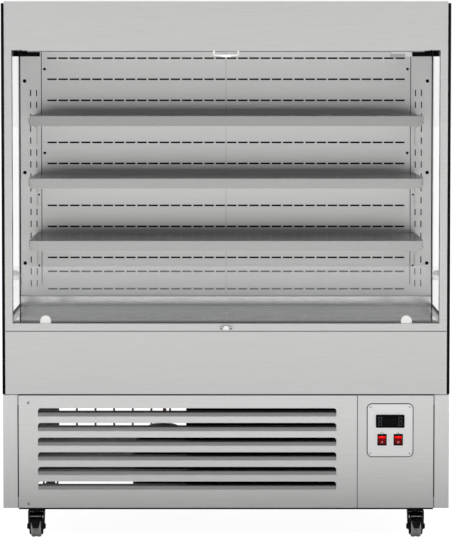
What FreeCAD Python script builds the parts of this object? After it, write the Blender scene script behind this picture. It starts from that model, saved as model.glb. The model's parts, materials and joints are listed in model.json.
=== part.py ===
import FreeCAD, Part
import math
import os

V = FreeCAD.Vector

# Refrigerated open-front display case. X runs across, Y into the case, Z up, in millimetres.
# The origin is on the floor under the middle of the whole box. Depths named d run from the front plane.

# Whole case
case_width = 1200.0
body_depth = 692.0
caster_height = 83.0
base_height = 306.0
shadow_gap = 4.0
front_panel_height = 169.0
panel_seam = 1.0
ledge_height = 20.0
opening_height = 732.0
canopy_height = 130.0
sheet = 1.2
over = 1.0  # how far a cutter runs past the face that it opens
running_gap = 0.3  # between faces that move past each other
pin_gap = 0.05  # round a pin in its hole

# Insulated body
wall = 40.0
rear_wall = 60.0
interior_depth = 479.5
deck_rise = 3.0
ceiling_drop = 60.0
ceiling_setback = 200.0
side_unit = 8.0
post_width = 20.0
post_depth = 30.0
ledge_depth = 45.0
hem = 5.0
lip_height = 29.0
lip_reach = 17.5
lip_clearance = 0.3
lip_end_gap = 1.0
panel_overlap = 6.0
panel_split = 0.5

# Side glass
window_rear_margin = 13.5
window_below_ledge = 8.0
window_below_canopy = 17.0
glass_rebate = 6.0
rebate_depth = 2.0
trim_top_gap = 5.0

# Air slots of the back panel
air_slot_width = 27.0
air_slot_height = 4.7
air_slot_pitch = 32.0
air_row_pitch = 60.0
air_row_count = 9
first_air_row_drop = 52.0
low_air_rows = (109.0, 69.0, 19.0)  # heights above the panel's lower edge
air_margin = 22.0

# Slotted uprights and shelves
upright_width = 63.0
upright_side_gap = 2.0
upright_sheet = 1.5
upright_return = 10.0
shelf_slot_width = 3.0
shelf_slot_height = 18.0
shelf_slot_pitch = 34.0
first_slot_drop = 151.0
slot_inset = 13.0
slot_column_gap = 17.0
slots_above_shelf = 2
slots_between_shelves = 5
shelf_above_slot = 10.0
shelf_front = 125.0
shelf_rear_gap = 2.0
shelf_overlap = 7.0
shelf_lip = 27.0
shelf_lip_return = 12.0
bracket_sheet = 2.0
bracket_nose = 25.0
bracket_arm = 20.0
bracket_back = 92.0
bracket_stem = 12.0
bracket_flange = 22.0
hook_length = 5.0
hook_clearance = 1.0

# Deck and evaporator
tray_front = 64.0
tray_under_lip = 2.0
tray_flange = 18.0
tray_flange_gap = 1.0
tray_bearing = 18.0
tray_split = 1.0
return_slot_width = 60.0
return_slot_height = 9.0
return_slot_pitch = 76.0
return_slot_depth = 120.0
coil_end_gap = 122.0
coil_front = 330.0
coil_depth = 120.0
coil_height = 133.0
fin_count = 24
fin_groove = 4.0
fin_groove_depth = 20.0
fan_plate_depth = 300.0
fan_plate_sheet = 1.5
fan_spread = 250.0
fan_axis_height = 75.0
evaporator_fan_radius = 58.0
fan_tip_gap = 4.0
evaporator_hub_radius = 20.0
evaporator_hub_length = 16.0
evaporator_motor_radius = 22.0
evaporator_motor_length = 24.0
fan_standoff = 8.0
shaft_radius = 4.0
motor_strap = 24.0

# Night blind
roller_depth = 33.3
roller_drop = 33.0
roll_radius = 22.0
tube_radius = 19.0
roller_pin_radius = 4.0
roll_end_gap = 23.0
blind_bracket_inset = 24.0
blind_bracket_sheet = 3.0
blind_bracket_front = 8.0
blind_bracket_depth = 50.0
guide_height = 15.0
guide_length = 48.0
guide_end_gap = 1.0
guide_sheet = 3.0
guide_low = 17.0
cloth_thickness = 0.4
bar_end_gap = 18.0
bar_depth = 10.0
bar_height = 12.0
bar_low = 5.0
bar_chamfer = 2.5
handle_width = 70.0
handle_drop = 10.4
handle_thickness = 4.0
handle_rim = 3.5
handle_corner = 6.0
handle_bump_width = 28.0
handle_bump = 3.0
catch_width = 34.0
catch_height = 13.0
catch_plate = 2.5
catch_reach = 8.0
catch_lip = 2.0

# Lamp
lamp_end_gap = 120.0
lamp_depth = 24.0
lamp_height = 20.0
lamp_setback = 5.0
holder_length = 60.0
holder_height = 28.0
holder_overhang = 32.0

# Front glass
front_glass_thickness = 6.0
front_glass_setback = 22.0
front_glass_height = 150.0
front_glass_side_gap = 2.0
clip_inset = 87.0
clip_width = 29.0
clip_height = 19.0
clip_wall = 5.0
clip_floor = 2.0
tab_radius = 7.0
tab_drop = 18.0
tab_thickness = 4.0

# Base
base_setback = 10.0
base_post = 39.0
post_gap = 3.2
frame_leg = 36.0
frame_rail = 30.0
frame_wall = 3.0
gusset_width = 150.0
gusset_depth = 130.0
bearer_width = 40.0
guard_slot_width = 49.0
guard_slot_pitch = 55.0
guard_side_margin = 100.0
guard_low_margin = 112.0
guard_high_margin = 45.0
control_width = 203.8
louvre_left = 51.8
louvre_right = 56.0
louvre_drop = 34.4
louvre_pitch = 39.7
louvre_height = 22.8
louvre_count = 6
louvre_corner = 8.0
blade_radius = 16.0
blade_sweep = 76.0
blade_root = 0.6

# Controls
plate_inset = 87.5
plate_screw_inset = 8.0
plate_screw_radius = 2.2
plate_screw_height = 0.8
plate_drop = 95.0
plate_width = 121.0
plate_height = 141.0
plate_thickness = 1.5
plate_corner = 12.0
plate_border = 10.5
controller_width = 77.0
controller_height = 35.0
controller_bezel = 4.0
controller_rim = 3.0
controller_length = 55.0
controller_rise = 24.7
fit_gap = 0.2
display_width = 40.0
display_height = 22.0
display_recess = 1.0
key_size = 11.0
key_spread = 27.0
key_pitch = 13.0
key_proud = 0.8
key_length = 3.2
key_travel = 0.6
switch_width = 25.0
switch_height = 31.0
switch_bezel = 2.0
switch_rim = 1.7
switch_wall = 1.2
switch_length = 20.0
switch_spread = 21.75
switch_drop = 25.4
rocker_pivot = 2.5
rocker_side_gap = 0.4
rocker_half_height = 11.4
rocker_horn = 8.0
rocker_valley = 5.2
rocker_back = 3.5
rocker_back_half = 3.0
rocker_shoulder = 2.0
rocker_tilt = 8.0
rocker_pin_radius = 1.5
rocker_pin_length = 1.1
screw_radius = 4.0
screw_height = 1.6
grille_screw_inset = 25.8
grille_screw_top = 20.0
grille_screw_bottom = 10.0
panel_screw_inset = 16.0
panel_screw_drops = (83.0, 322.0)

# Casters
caster_side_inset = 87.0
caster_inset = 60.0
caster_plate_size = 60.0
caster_plate_sheet = 3.0
race_radius = 18.0
race_height = 8.0
kingpin_radius = 5.0
kingpin_head_radius = 8.0
kingpin_head = 3.0
fork_plate = 3.2
fork_leg_sheet = 3.5
fork_inner = 18.5
fork_rear = 16.0
fork_front = 33.0
fork_eye = 9.0
wheel_radius = 29.0
wheel_width = 27.0
wheel_chamfer = 4.0
wheel_hub_radius = 10.0
wheel_trail = 20.0
axle_radius = 4.0
axle_head_radius = 7.0
axle_head = 3.0
pedal_pivot_forward = 6.0
pedal_pivot_drop = 4.5
pedal_pin_radius = 2.0
pedal_barrel = 3.5
pedal_sheet = 2.5
pedal_width = 26.0
pedal_slope_reach = 22.0
pedal_slope_fall = 9.0
pedal_nose_reach = 30.0
pedal_nose_fall = 15.0
pedal_tongue_fall = 35.0
pedal_tongue_width = 16.0
pedal_tongue_corner = 4.0
pedal_pad_front = 12.0
pedal_pad_rear = 4.0
pedal_pad_gap = 0.8

# Condensing unit
compressor_x = -176.0
compressor_d = 300.0
compressor_radius = 85.0
compressor_height = 177.0
compressor_dome = 55.0
compressor_brow = 66.0
compressor_brow_drop = 17.0
compressor_cap = 34.0
compressor_cap_drop = 4.0
compressor_seam = 3.0
compressor_seam_height = 6.0
foot_spread_x = 64.0
foot_spread_d = 95.0
foot_radius = 14.0
foot_height = 10.0
foot_plate = 4.0
stub_radius = 6.0
stub_length = 15.0
condenser_x = -108.0
condenser_width = 420.0
condenser_d = 60.0
condenser_depth = 50.0
condenser_height = 264.0
condenser_bearer_inset = 80.0
shroud_depth = 40.0
shroud_wall = 2.0
condenser_fan_radius = 110.0
condenser_hub_radius = 30.0
condenser_hub_length = 24.0
condenser_motor_radius = 40.0
condenser_motor_length = 50.0
motor_bar = 18.0
motor_bar_gap = 26.0
motor_bar_sheet = 3.0
blade_sheet = 1.5
blade_count = 5
blade_pitch = 32.0
pipe_radius = 5.0
pipe_bend = 25.0
drier_radius = 14.0
drier_length = 110.0

# Levels and planes that follow from these sizes
half = case_width / 2
front = (catch_reach - body_depth) / 2
base_top = caster_height + base_height
tub_bottom = base_top + shadow_gap
panel_top = tub_bottom + front_panel_height
ledge_bottom = panel_top + panel_seam
ledge_top = ledge_bottom + ledge_height
canopy_bottom = ledge_top + opening_height
case_top = canopy_bottom + canopy_height
deck_top = ledge_top + deck_rise
tub_top = deck_top - sheet
tub_floor = tub_bottom + wall
roof_bottom = case_top - wall
ceiling = roof_bottom - ceiling_drop
body_half = half - side_unit
post_inner = body_half - post_width
tub_inner = body_half - wall
cheek_inner = half - wall
rear_wall_front = body_depth - rear_wall
upright_face = interior_depth - upright_sheet
upright_outer = body_half - upright_side_gap
upright_inner = upright_outer - upright_width
panel_half_width = upright_inner + panel_overlap
panel_bottom = deck_top + lip_height
window_bottom = ledge_top - window_below_ledge
window_top = canopy_bottom - window_below_canopy
window_rear = interior_depth - window_rear_margin
tray_rear = interior_depth - lip_reach + tray_under_lip
coil_half_width = tub_inner - coil_end_gap
frame_front = base_setback + sheet
frame_half = half - sheet
frame_floor = caster_height + frame_wall
grille_left = -half + base_post + post_gap
fascia_right = half - base_post - post_gap
fascia_left = fascia_right - control_width
grille_right = fascia_left - panel_seam
grille_bottom = caster_height + panel_seam
grille_top = base_top - panel_seam
control_x = fascia_left + plate_inset
control_z = base_top - plate_drop
plate_face = base_setback - plate_thickness
first_slot = ceiling - first_slot_drop
slot_x = upright_inner + slot_inset
shelf_rear = upright_face - shelf_rear_gap
shelf_half_width = upright_inner + shelf_overlap
lamp_half_length = half - lamp_end_gap
clip_x = post_inner - clip_inset
caster_x = half - caster_side_inset
roller_z = roof_bottom - roller_drop
blind_bracket_x = post_inner - blind_bracket_inset
roll_half_length = blind_bracket_x - roll_end_gap
bar_half_width = blind_bracket_x - bar_end_gap
bar_bottom = canopy_bottom - bar_low
cloth_face = roller_depth - roll_radius - running_gap
bar_front = cloth_face - cloth_thickness / 2 - bar_depth / 2
bearer_xs = (compressor_x - foot_spread_x, compressor_x + foot_spread_x,
             condenser_x + condenser_bearer_inset, condenser_x + condenser_width - condenser_bearer_inset)
condenser_fan_x = condenser_x + condenser_width / 2
condenser_fan_z = frame_floor + condenser_height / 2
shroud_front = condenser_d + condenser_depth
shroud_rear = shroud_front + shroud_depth
fan_z = tub_floor + fan_axis_height


# Shared shapes
def block(x0, x1, d0, d1, z0, z1):
    return Part.makeBox(x1 - x0, d1 - d0, z1 - z0, V(x0, front + d0, z0))


def rod_x(radius, x0, x1, d, z):
    return Part.makeCylinder(radius, x1 - x0, V(x0, front + d, z), V(1, 0, 0))


def rod_y(radius, d0, d1, x, z):
    return Part.makeCylinder(radius, d1 - d0, V(x, front + d0, z), V(0, 1, 0))


def rod_z(radius, z0, z1, x, d):
    return Part.makeCylinder(radius, z1 - z0, V(x, front + d, z0), V(0, 0, 1))


def outline(corners):
    return Part.makePolygon(corners + corners[:1])


def side_profile(points, x0, x1):
    corners = [V(x0, front + d, z) for d, z in points]
    return Part.Face(outline(corners)).extrude(V(x1 - x0, 0, 0))


def front_profile(points, d0, d1):
    corners = [V(x, front + d0, z) for x, z in points]
    return Part.Face(outline(corners)).extrude(V(0, d1 - d0, 0))


def rounded_plate(x, z, width, height, corner, d0, d1):
    plate = block(x - width / 2, x + width / 2, d0, d1, z - height / 2, z + height / 2)
    across = [edge for edge in plate.Edges if abs(edge.tangentAt(edge.FirstParameter).y) > 0.5]
    return plate.makeFillet(corner, across)


def rectangle(x, z, width, height, d):
    corners = [(-1, -1), (1, -1), (1, 1), (-1, 1)]
    return outline([V(x + i * width / 2, front + d, z + k * height / 2) for i, k in corners])


def punched_sheet(x0, x1, z0, z1, d0, d1, slots):
    border = rectangle((x0 + x1) / 2, (z0 + z1) / 2, x1 - x0, z1 - z0, d0)
    holes = [rectangle(x, z, width, height, d0) for x, z, width, height in slots]
    face = Part.makeFace([border] + holes, "Part::FaceMakerCheese")
    return face.extrude(V(0, d1 - d0, 0))


def fused(shapes):
    return shapes[0].multiFuse(shapes[1:]).removeSplitter()


def mirrored(shape):
    return shape.mirror(V(0, 0, 0), V(1, 0, 0))


def both_sides(shape):
    return Part.makeCompound([shape, mirrored(shape)])


def centred_steps(span, pitch, size):
    count = int((span - size) / pitch) + 1
    return [(i - (count - 1) / 2) * pitch for i in range(count)]


def bent_tube(radius, corners, bend):
    points = [V(x, front + d, z) for x, d, z in corners]
    edges = []
    start = points[0]
    for before, corner, after in zip(points, points[1:], points[2:]):
        arriving = (corner - before).normalize()
        leaving = (after - corner).normalize()
        arc_start = corner - arriving * bend
        arc_end = corner + leaving * bend
        centre = arc_start + leaving * bend
        middle = centre + (corner - centre).normalize() * bend
        edges.append(Part.LineSegment(start, arc_start).toShape())
        edges.append(Part.Arc(arc_start, middle, arc_end).toShape())
        start = arc_end
    edges.append(Part.LineSegment(start, points[-1]).toShape())
    section = Part.Face(Part.Wire(Part.makeCircle(radius, points[0], points[1] - points[0])))
    return Part.Wire(edges).makePipe(section)


def axial_fan(x, z, d0, d1, hub_radius, tip_radius):
    hub = rod_y(hub_radius, d0, d1, x, z)
    chord = (d1 - d0) / math.sin(math.radians(blade_pitch)) - blade_sheet
    root = V(-chord / 2, -blade_sheet / 2, hub_radius / 2)
    blade = Part.makeBox(chord, blade_sheet, tip_radius, root)
    blade.rotate(V(0, 0, 0), V(0, 0, 1), blade_pitch)
    blades = []
    for number in range(blade_count):
        turned = blade.copy()
        turned.rotate(V(0, 0, 0), V(0, 1, 0), 360.0 * number / blade_count)
        turned.translate(V(x, front + (d0 + d1) / 2, z))
        blades.append(turned)
    sweep = rod_y(tip_radius, d0, d1, x, z)
    wheel = fused([hub] + [turned.common(sweep) for turned in blades])
    return wheel.cut(rod_y(shaft_radius + pin_gap, d0 - over, d1 + over, x, z))


# Base: angle frame, skins and guards
def base_frame():
    x = frame_half
    d0 = frame_front
    d1 = body_depth - sheet
    walls = block(-x, x, d0, d1, caster_height, tub_bottom)
    hollow = block(-x + frame_wall, x - frame_wall, d0 + frame_wall, d1 - frame_wall,
                   caster_height - over, tub_bottom + over)
    low = caster_height + frame_rail
    high = tub_bottom - frame_rail
    front_window = block(-x + frame_leg, x - frame_leg, d0 - over, d1 + over, low, high)
    side_window = block(-x - over, x + over, d0 + frame_leg, d1 - frame_leg, low, high)
    pieces = [walls.cut(hollow).cut(front_window).cut(side_window)]
    for z0 in (caster_height, tub_bottom - frame_wall):
        ring = block(-x, x, d0, d1, z0, z0 + frame_wall)
        gap = block(-x + frame_leg, x - frame_leg, d0 + frame_leg, d1 - frame_leg,
                    z0 - over, z0 + frame_wall + over)
        pieces.append(ring.cut(gap))
    for side in (-x, x - gusset_width):
        for end in (d0, d1 - gusset_depth):
            pieces.append(block(side, side + gusset_width, end, end + gusset_depth,
                                caster_height, frame_floor))
    for middle in bearer_xs:
        pieces.append(block(middle - bearer_width / 2, middle + bearer_width / 2, d0, d1,
                            caster_height, frame_floor))
    return fused(pieces)


def base_side_panels():
    side = block(frame_half, half, base_setback, body_depth, caster_height, base_top)
    front_return = block(half - base_post, half, base_setback, frame_front, caster_height, base_top)
    return both_sides(fused([side, front_return]))


def rear_guard():
    low = caster_height + guard_low_margin
    high = base_top - guard_high_margin
    steps = centred_steps(2 * (frame_half - guard_side_margin), guard_slot_pitch, guard_slot_width)
    slots = [(x, (low + high) / 2, guard_slot_width, high - low) for x in steps]
    return punched_sheet(-frame_half, frame_half, caster_height, base_top,
                         body_depth - sheet, body_depth, slots)


def louvre_opening(top):
    opening = block(grille_left + louvre_left, grille_right - louvre_right, base_setback - over,
                    frame_front + over, top - louvre_height, top)
    corners = [edge for edge in opening.Edges
               if edge.BoundBox.ZMin > top - over and abs(edge.tangentAt(edge.FirstParameter).y) > 0.5]
    return opening.makeFillet(louvre_corner, corners)


# A louvre blade is part of a tube: it leaves the panel upright and curls back into the bay.
def louvre_blade(top):
    x0 = grille_left + louvre_left
    x1 = grille_right - louvre_right
    foot = top - louvre_height - blade_root
    d = base_setback + blade_radius
    far = 2 * blade_radius
    turn = math.radians(blade_sweep)
    sector = side_profile([(d, foot), (d - far, foot), (d - far, foot + far),
                           (d - far * math.cos(turn), foot + far * math.sin(turn))], x0, x1)
    tube = rod_x(blade_radius, x0, x1, d, foot).cut(rod_x(blade_radius - sheet, x0, x1, d, foot))
    return tube.common(sector)


def grille_panel():
    panel = block(grille_left, grille_right, base_setback, frame_front, grille_bottom, grille_top)
    tops = [grille_top - louvre_drop - louvre_pitch * row for row in range(louvre_count)]
    panel = panel.cut(Part.makeCompound([louvre_opening(top) for top in tops]))
    return fused([panel] + [louvre_blade(top) for top in tops])


# Control panel
def control_fascia():
    panel = block(fascia_left, fascia_right, base_setback, frame_front, grille_bottom, grille_top)
    width = plate_width / 2 - plate_border
    height = plate_height / 2 - plate_border
    window = block(control_x - width, control_x + width, base_setback - over, frame_front + over,
                   control_z - height, control_z + height)
    return panel.cut(window)


controller_z = control_z + controller_rise
switch_z = control_z - switch_drop
switch_xs = (control_x - switch_spread, control_x + switch_spread)
controller_face = plate_face - controller_bezel
switch_face = plate_face - switch_bezel
body_width = controller_width - 2 * controller_rim
body_height = controller_height - 2 * controller_rim
switch_body_width = switch_width - 2 * switch_rim
switch_body_height = switch_height - 2 * switch_rim
switch_hole_width = switch_body_width - 2 * switch_wall
switch_hole_height = switch_body_height - 2 * switch_wall
pivot_d = plate_face + rocker_pivot
key_xs = (control_x - key_spread, control_x + key_spread)
key_zs = (controller_z + key_pitch / 2, controller_z - key_pitch / 2)


def centred_block(x, z, width, height, d0, d1):
    return block(x - width / 2, x + width / 2, d0, d1, z - height / 2, z + height / 2)


def control_plate():
    plate = rounded_plate(control_x, control_z, plate_width, plate_height, plate_corner,
                          plate_face, base_setback)
    holes = [centred_block(control_x, controller_z, body_width + 2 * fit_gap, body_height + 2 * fit_gap,
                           plate_face - over, base_setback + over)]
    for x in switch_xs:
        holes.append(centred_block(x, switch_z, switch_body_width + 2 * fit_gap,
                                   switch_body_height + 2 * fit_gap, plate_face - over, base_setback + over))
    return plate.cut(Part.makeCompound(holes))


def controller_body():
    bezel = rounded_plate(control_x, controller_z, controller_width, controller_height, controller_rim,
                          controller_face, plate_face)
    body = centred_block(control_x, controller_z, body_width, body_height,
                         plate_face, plate_face + controller_length)
    display = centred_block(control_x, controller_z, display_width, display_height,
                            controller_face - over, controller_face + display_recess)
    pocket = key_size + 2 * running_gap
    pocket_floor = controller_face + key_length - key_proud + key_travel + fit_gap
    pockets = [centred_block(x, z, pocket, pocket, controller_face - over, pocket_floor)
               for x in key_xs for z in key_zs]
    return fused([bezel, body]).cut(Part.makeCompound([display] + pockets))


def controller_key(x, z):
    return centred_block(x, z, key_size, key_size, controller_face - key_proud,
                         controller_face + key_length - key_proud)


def switch_bezel_at(x):
    rim = centred_block(x, switch_z, switch_width, switch_height, switch_face, plate_face)
    body = centred_block(x, switch_z, switch_body_width, switch_body_height,
                         plate_face, plate_face + switch_length)
    hollow = centred_block(x, switch_z, switch_hole_width, switch_hole_height,
                           switch_face - over, plate_face + switch_length - switch_wall)
    pivot = rod_x(rocker_pin_radius + pin_gap, x - switch_width, x + switch_width, pivot_d, switch_z)
    return fused([rim, body]).cut(hollow).cut(pivot)


def rocker(x):
    upper = [(-rocker_horn, rocker_half_height), (-rocker_valley, 0.0), (-rocker_horn, -rocker_half_height)]
    lower = [(-rocker_shoulder, -rocker_half_height), (rocker_back, -rocker_back_half),
             (rocker_back, rocker_back_half), (-rocker_shoulder, rocker_half_height)]
    points = [(pivot_d + u, switch_z + w) for u, w in upper + lower]
    reach = switch_hole_width / 2 - rocker_side_gap
    paddle = side_profile(points, x - reach, x + reach)
    pin_reach = switch_hole_width / 2 + rocker_pin_length
    pin = rod_x(rocker_pin_radius, x - pin_reach, x + pin_reach, pivot_d, switch_z)
    whole = fused([paddle, pin])
    whole.rotate(V(x, front + pivot_d, switch_z), V(1, 0, 0), -rocker_tilt)
    return whole


def screws():
    grille_x = grille_left + grille_screw_inset
    heads = [rod_y(screw_radius, base_setback - screw_height, base_setback, grille_x, z)
             for z in (grille_top - grille_screw_top, grille_bottom + grille_screw_bottom)]
    for side in (-1, 1):
        panel_x = side * (panel_half_width - panel_screw_inset)
        plate_x = control_x + side * (plate_width / 2 - plate_screw_inset)
        for drop in panel_screw_drops:
            heads.append(rod_y(screw_radius, interior_depth - screw_height, interior_depth,
                               panel_x, ceiling - drop))
        for end in (-1, 1):
            plate_z = control_z + end * (plate_height / 2 - plate_screw_inset)
            heads.append(rod_y(plate_screw_radius, plate_face - plate_screw_height, plate_face,
                               plate_x, plate_z))
    return Part.makeCompound(heads)


# Insulated body
def bottom_tub():
    shell = fused([block(-body_half, body_half, sheet, interior_depth, tub_bottom, tub_top),
                   block(-cheek_inner, cheek_inner, interior_depth, rear_wall_front, tub_bottom, tub_top)])
    trough = block(-tub_inner, tub_inner, sheet + wall, rear_wall_front + over, tub_floor, tub_top + over)
    under_ledge = block(-post_inner, post_inner, 0, ledge_depth, ledge_top - sheet, tub_top + over)
    shell = shell.cut(trough).cut(under_ledge)
    for x0 in (-body_half - over, post_inner):
        shell = shell.cut(block(x0, x0 + post_width + over, 0, post_depth, ledge_bottom, tub_top + over))
    return shell


def front_panel():
    return block(-body_half, body_half, 0, sheet, tub_bottom, panel_top)


def front_ledge():
    return fused([block(-post_inner, post_inner, 0, ledge_depth, ledge_top - sheet, ledge_top),
                  block(-post_inner, post_inner, 0, sheet, ledge_bottom, ledge_top),
                  block(-tub_inner, tub_inner, ledge_depth - sheet, ledge_depth, ledge_bottom, ledge_top)])


def deck_tray():
    inner = tray_split / 2
    outer = tub_inner + tray_bearing
    tray = block(inner, outer, tray_front, tray_rear, tub_top, deck_top)
    middle = (inner + outer) / 2
    span = outer - inner - return_slot_pitch
    slots = [block(middle + x - return_slot_width / 2, middle + x + return_slot_width / 2,
                   return_slot_depth, return_slot_depth + return_slot_height, tub_top - over, deck_top + over)
             for x in centred_steps(span, return_slot_pitch, return_slot_width)]
    flange = block(inner, tub_inner - tray_flange_gap, tray_front, tray_front + sheet,
                   tub_top - tray_flange, deck_top)
    return fused([tray.cut(Part.makeCompound(slots)), flange])


def evaporator_coil():
    core = block(-coil_half_width, coil_half_width, coil_front, coil_front + coil_depth,
                 tub_floor, tub_floor + coil_height)
    pitch = 2 * coil_half_width / (fin_count + 1)
    grooves = [block(x - fin_groove / 2, x + fin_groove / 2, coil_front - over, coil_front + fin_groove_depth,
                     tub_floor + fin_groove_depth, tub_floor + coil_height + over)
               for x in [(i - (fin_count - 1) / 2) * pitch for i in range(fin_count)]]
    return core.cut(Part.makeCompound(grooves))


def evaporator_fan_plate():
    d0 = fan_plate_depth
    d1 = d0 + fan_plate_sheet
    plate = block(-tub_inner, tub_inner, d0, d1, tub_floor, tub_top)
    hole_radius = evaporator_fan_radius + fan_tip_gap
    pieces = []
    for x in (-fan_spread, fan_spread):
        plate = plate.cut(rod_y(hole_radius, d0 - over, d1 + over, x, fan_z))
        pieces.append(block(x - hole_radius - over, x + hole_radius + over, d0, d1,
                            fan_z - motor_strap / 2, fan_z + motor_strap / 2))
        pieces.append(rod_y(evaporator_motor_radius, d1, d1 + evaporator_motor_length, x, fan_z))
        pieces.append(rod_y(shaft_radius, d0 - fan_standoff - evaporator_hub_length, d0, x, fan_z))
    return fused([plate] + pieces)


def evaporator_fan(x):
    rear = fan_plate_depth - fan_standoff
    return axial_fan(x, fan_z, rear - evaporator_hub_length, rear,
                     evaporator_hub_radius, evaporator_fan_radius)


def rear_shell():
    slab = block(-half, half, rear_wall_front, body_depth, tub_bottom, case_top)
    cheeks = [block(x0, x0 + wall, interior_depth, rear_wall_front, tub_bottom, case_top)
              for x0 in (-half, cheek_inner)]
    return fused([slab] + cheeks)


def back_panel_half():
    inner = panel_split / 2
    span = 2 * (panel_half_width - air_margin) + air_slot_pitch - air_slot_width
    steps = [x for x in centred_steps(span, air_slot_pitch, air_slot_width) if x > air_slot_width / 2]
    levels = [ceiling - first_air_row_drop - air_row_pitch * row for row in range(air_row_count)]
    levels += [panel_bottom + rise for rise in low_air_rows]
    slots = [(x, z, air_slot_width, air_slot_height) for z in levels for x in steps]
    panel = punched_sheet(inner, panel_half_width, panel_bottom, ceiling,
                          interior_depth, interior_depth + sheet, slots)
    foot = deck_top + lip_clearance
    tip = interior_depth - lip_reach
    points = [(interior_depth, panel_bottom), (tip, foot), (tip + sheet, foot),
              (interior_depth + sheet, panel_bottom)]
    return fused([panel, side_profile(points, inner, upright_inner - lip_end_gap)])


def upright():
    count = int((first_slot - deck_top - shelf_slot_pitch) / shelf_slot_pitch) + 1
    slots = [(x, first_slot - shelf_slot_pitch * row, shelf_slot_width, shelf_slot_height)
             for x in (slot_x, slot_x + slot_column_gap) for row in range(count)]
    face = punched_sheet(upright_inner, upright_outer, tub_top, ceiling, upright_face, interior_depth, slots)
    edge = block(upright_outer - sheet, upright_outer, upright_face - upright_return, interior_depth,
                 tub_top, ceiling)
    return fused([face, edge])


def side_window(margin, x0, x1):
    return block(x0, x1, post_depth - margin, window_rear + margin,
                 window_bottom - margin, window_top + margin)


def glass_trim():
    frame = block(body_half, half, 0, interior_depth, tub_bottom, case_top - trim_top_gap)
    opening = side_window(0, body_half - over, half + over)
    rebate = side_window(glass_rebate, body_half + rebate_depth, half + over)
    return frame.cut(opening).cut(rebate)


def side_pane():
    return side_window(glass_rebate, body_half + rebate_depth, half)


def front_post():
    tube = block(post_inner, body_half, 0, post_depth, ledge_bottom, canopy_bottom)
    bore = block(post_inner + sheet, body_half - sheet, sheet, post_depth - sheet,
                 ledge_bottom - over, canopy_bottom + over)
    return tube.cut(bore)


def canopy_fascia():
    face = block(-body_half, body_half, 0, sheet, canopy_bottom, case_top)
    fold = block(-post_inner, post_inner, 0, hem, canopy_bottom, canopy_bottom + sheet)
    return fused([face, fold])


def roof_panel():
    return fused([block(-body_half, body_half, sheet, interior_depth, roof_bottom, case_top),
                  block(-cheek_inner, cheek_inner, interior_depth, rear_wall_front, roof_bottom, case_top),
                  block(-cheek_inner, cheek_inner, ceiling_setback, rear_wall_front, ceiling, roof_bottom)])


# Lamp and night blind
def led_lamp():
    d0 = ceiling_setback + lamp_setback
    d1 = d0 + lamp_depth
    slope = lamp_height / 2
    points = [(d0, ceiling), (d1, ceiling), (d1, ceiling - slope), (d1 - slope, ceiling - lamp_height),
              (d0, ceiling - lamp_height)]
    lamp = side_profile(points, -lamp_half_length, lamp_half_length)
    right = lamp_half_length + holder_overhang
    holder = block(right - holder_length, right, d0, d1 - slope,
                   ceiling - lamp_height - holder_height, ceiling - lamp_height)
    return Part.makeCompound([lamp, holder])


def blind_bracket():
    x1 = blind_bracket_x + blind_bracket_sheet
    rear = blind_bracket_front + blind_bracket_depth
    ear = block(blind_bracket_x, x1, blind_bracket_front, rear, ceiling, roof_bottom)
    bearing = rod_x(roller_pin_radius + pin_gap, blind_bracket_x - over, x1 + over, roller_depth, roller_z)
    low = canopy_bottom - guide_low
    tail = block(blind_bracket_x, x1, rear - blind_bracket_depth / 2, rear, low, ceiling)
    guide = block(blind_bracket_x - guide_length, post_inner - guide_end_gap, rear - guide_sheet, rear,
                  low, low + guide_height)
    return fused([ear.cut(bearing), tail, guide])


def blind_roller():
    reach = blind_bracket_x - running_gap
    pin_reach = blind_bracket_x + blind_bracket_sheet
    return fused([rod_x(roll_radius, -roll_half_length, roll_half_length, roller_depth, roller_z),
                  rod_x(tube_radius, -reach, reach, roller_depth, roller_z),
                  rod_x(roller_pin_radius, -pin_reach, pin_reach, roller_depth, roller_z)])


def blind_cloth():
    return block(-roll_half_length, roll_half_length, cloth_face - cloth_thickness, cloth_face,
                 bar_bottom + bar_height, roller_z)


def blind_bar():
    bar = block(-bar_half_width, bar_half_width, bar_front, bar_front + bar_depth,
                bar_bottom, bar_bottom + bar_height)
    lower = [edge for edge in bar.Edges
             if edge.BoundBox.ZMax < bar_bottom + over and abs(edge.tangentAt(edge.FirstParameter).x) > 0.5]
    return bar.makeChamfer(bar_chamfer, lower)


def blind_handle():
    middle = bar_front + bar_depth / 2
    d0 = middle - handle_thickness / 2
    d1 = middle + handle_thickness / 2
    outer = rounded_plate(0, bar_bottom, handle_width, 2 * handle_drop, handle_corner, d0, d1)
    inner = rounded_plate(0, bar_bottom, handle_width - 2 * handle_rim, 2 * (handle_drop - handle_rim),
                          handle_corner / 2, d0 - over, d1 + over)
    above = block(-handle_width, handle_width, d0 - over, d1 + over,
                  bar_bottom, bar_bottom + 2 * handle_drop)
    grip = rounded_plate(0, bar_bottom - handle_drop, handle_bump_width, 2 * handle_bump,
                         handle_bump / 2, d0, d1)
    return fused([outer.cut(inner).cut(above), grip])


def blind_catch():
    top = ledge_bottom + (ledge_height + catch_height) / 2
    bottom = top - catch_height
    points = [(0, bottom), (0, top), (-catch_plate, top), (-catch_plate, bottom + 2 * catch_lip),
              (catch_lip - catch_reach, bottom + 2 * catch_lip),
              (catch_lip - catch_reach, bottom + 4 * catch_lip),
              (-catch_reach, bottom + 4 * catch_lip), (-catch_reach, bottom + catch_lip),
              (-catch_plate, bottom)]
    return side_profile(points, -catch_width / 2, catch_width / 2)


# Shelves, counted from the top
shelf_names = ("shelf_top", "shelf_middle", "shelf_bottom")


def shelf_level(tier):
    rows = slots_above_shelf + slots_between_shelves * tier
    return first_slot - shelf_slot_pitch * rows + shelf_above_slot


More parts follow.
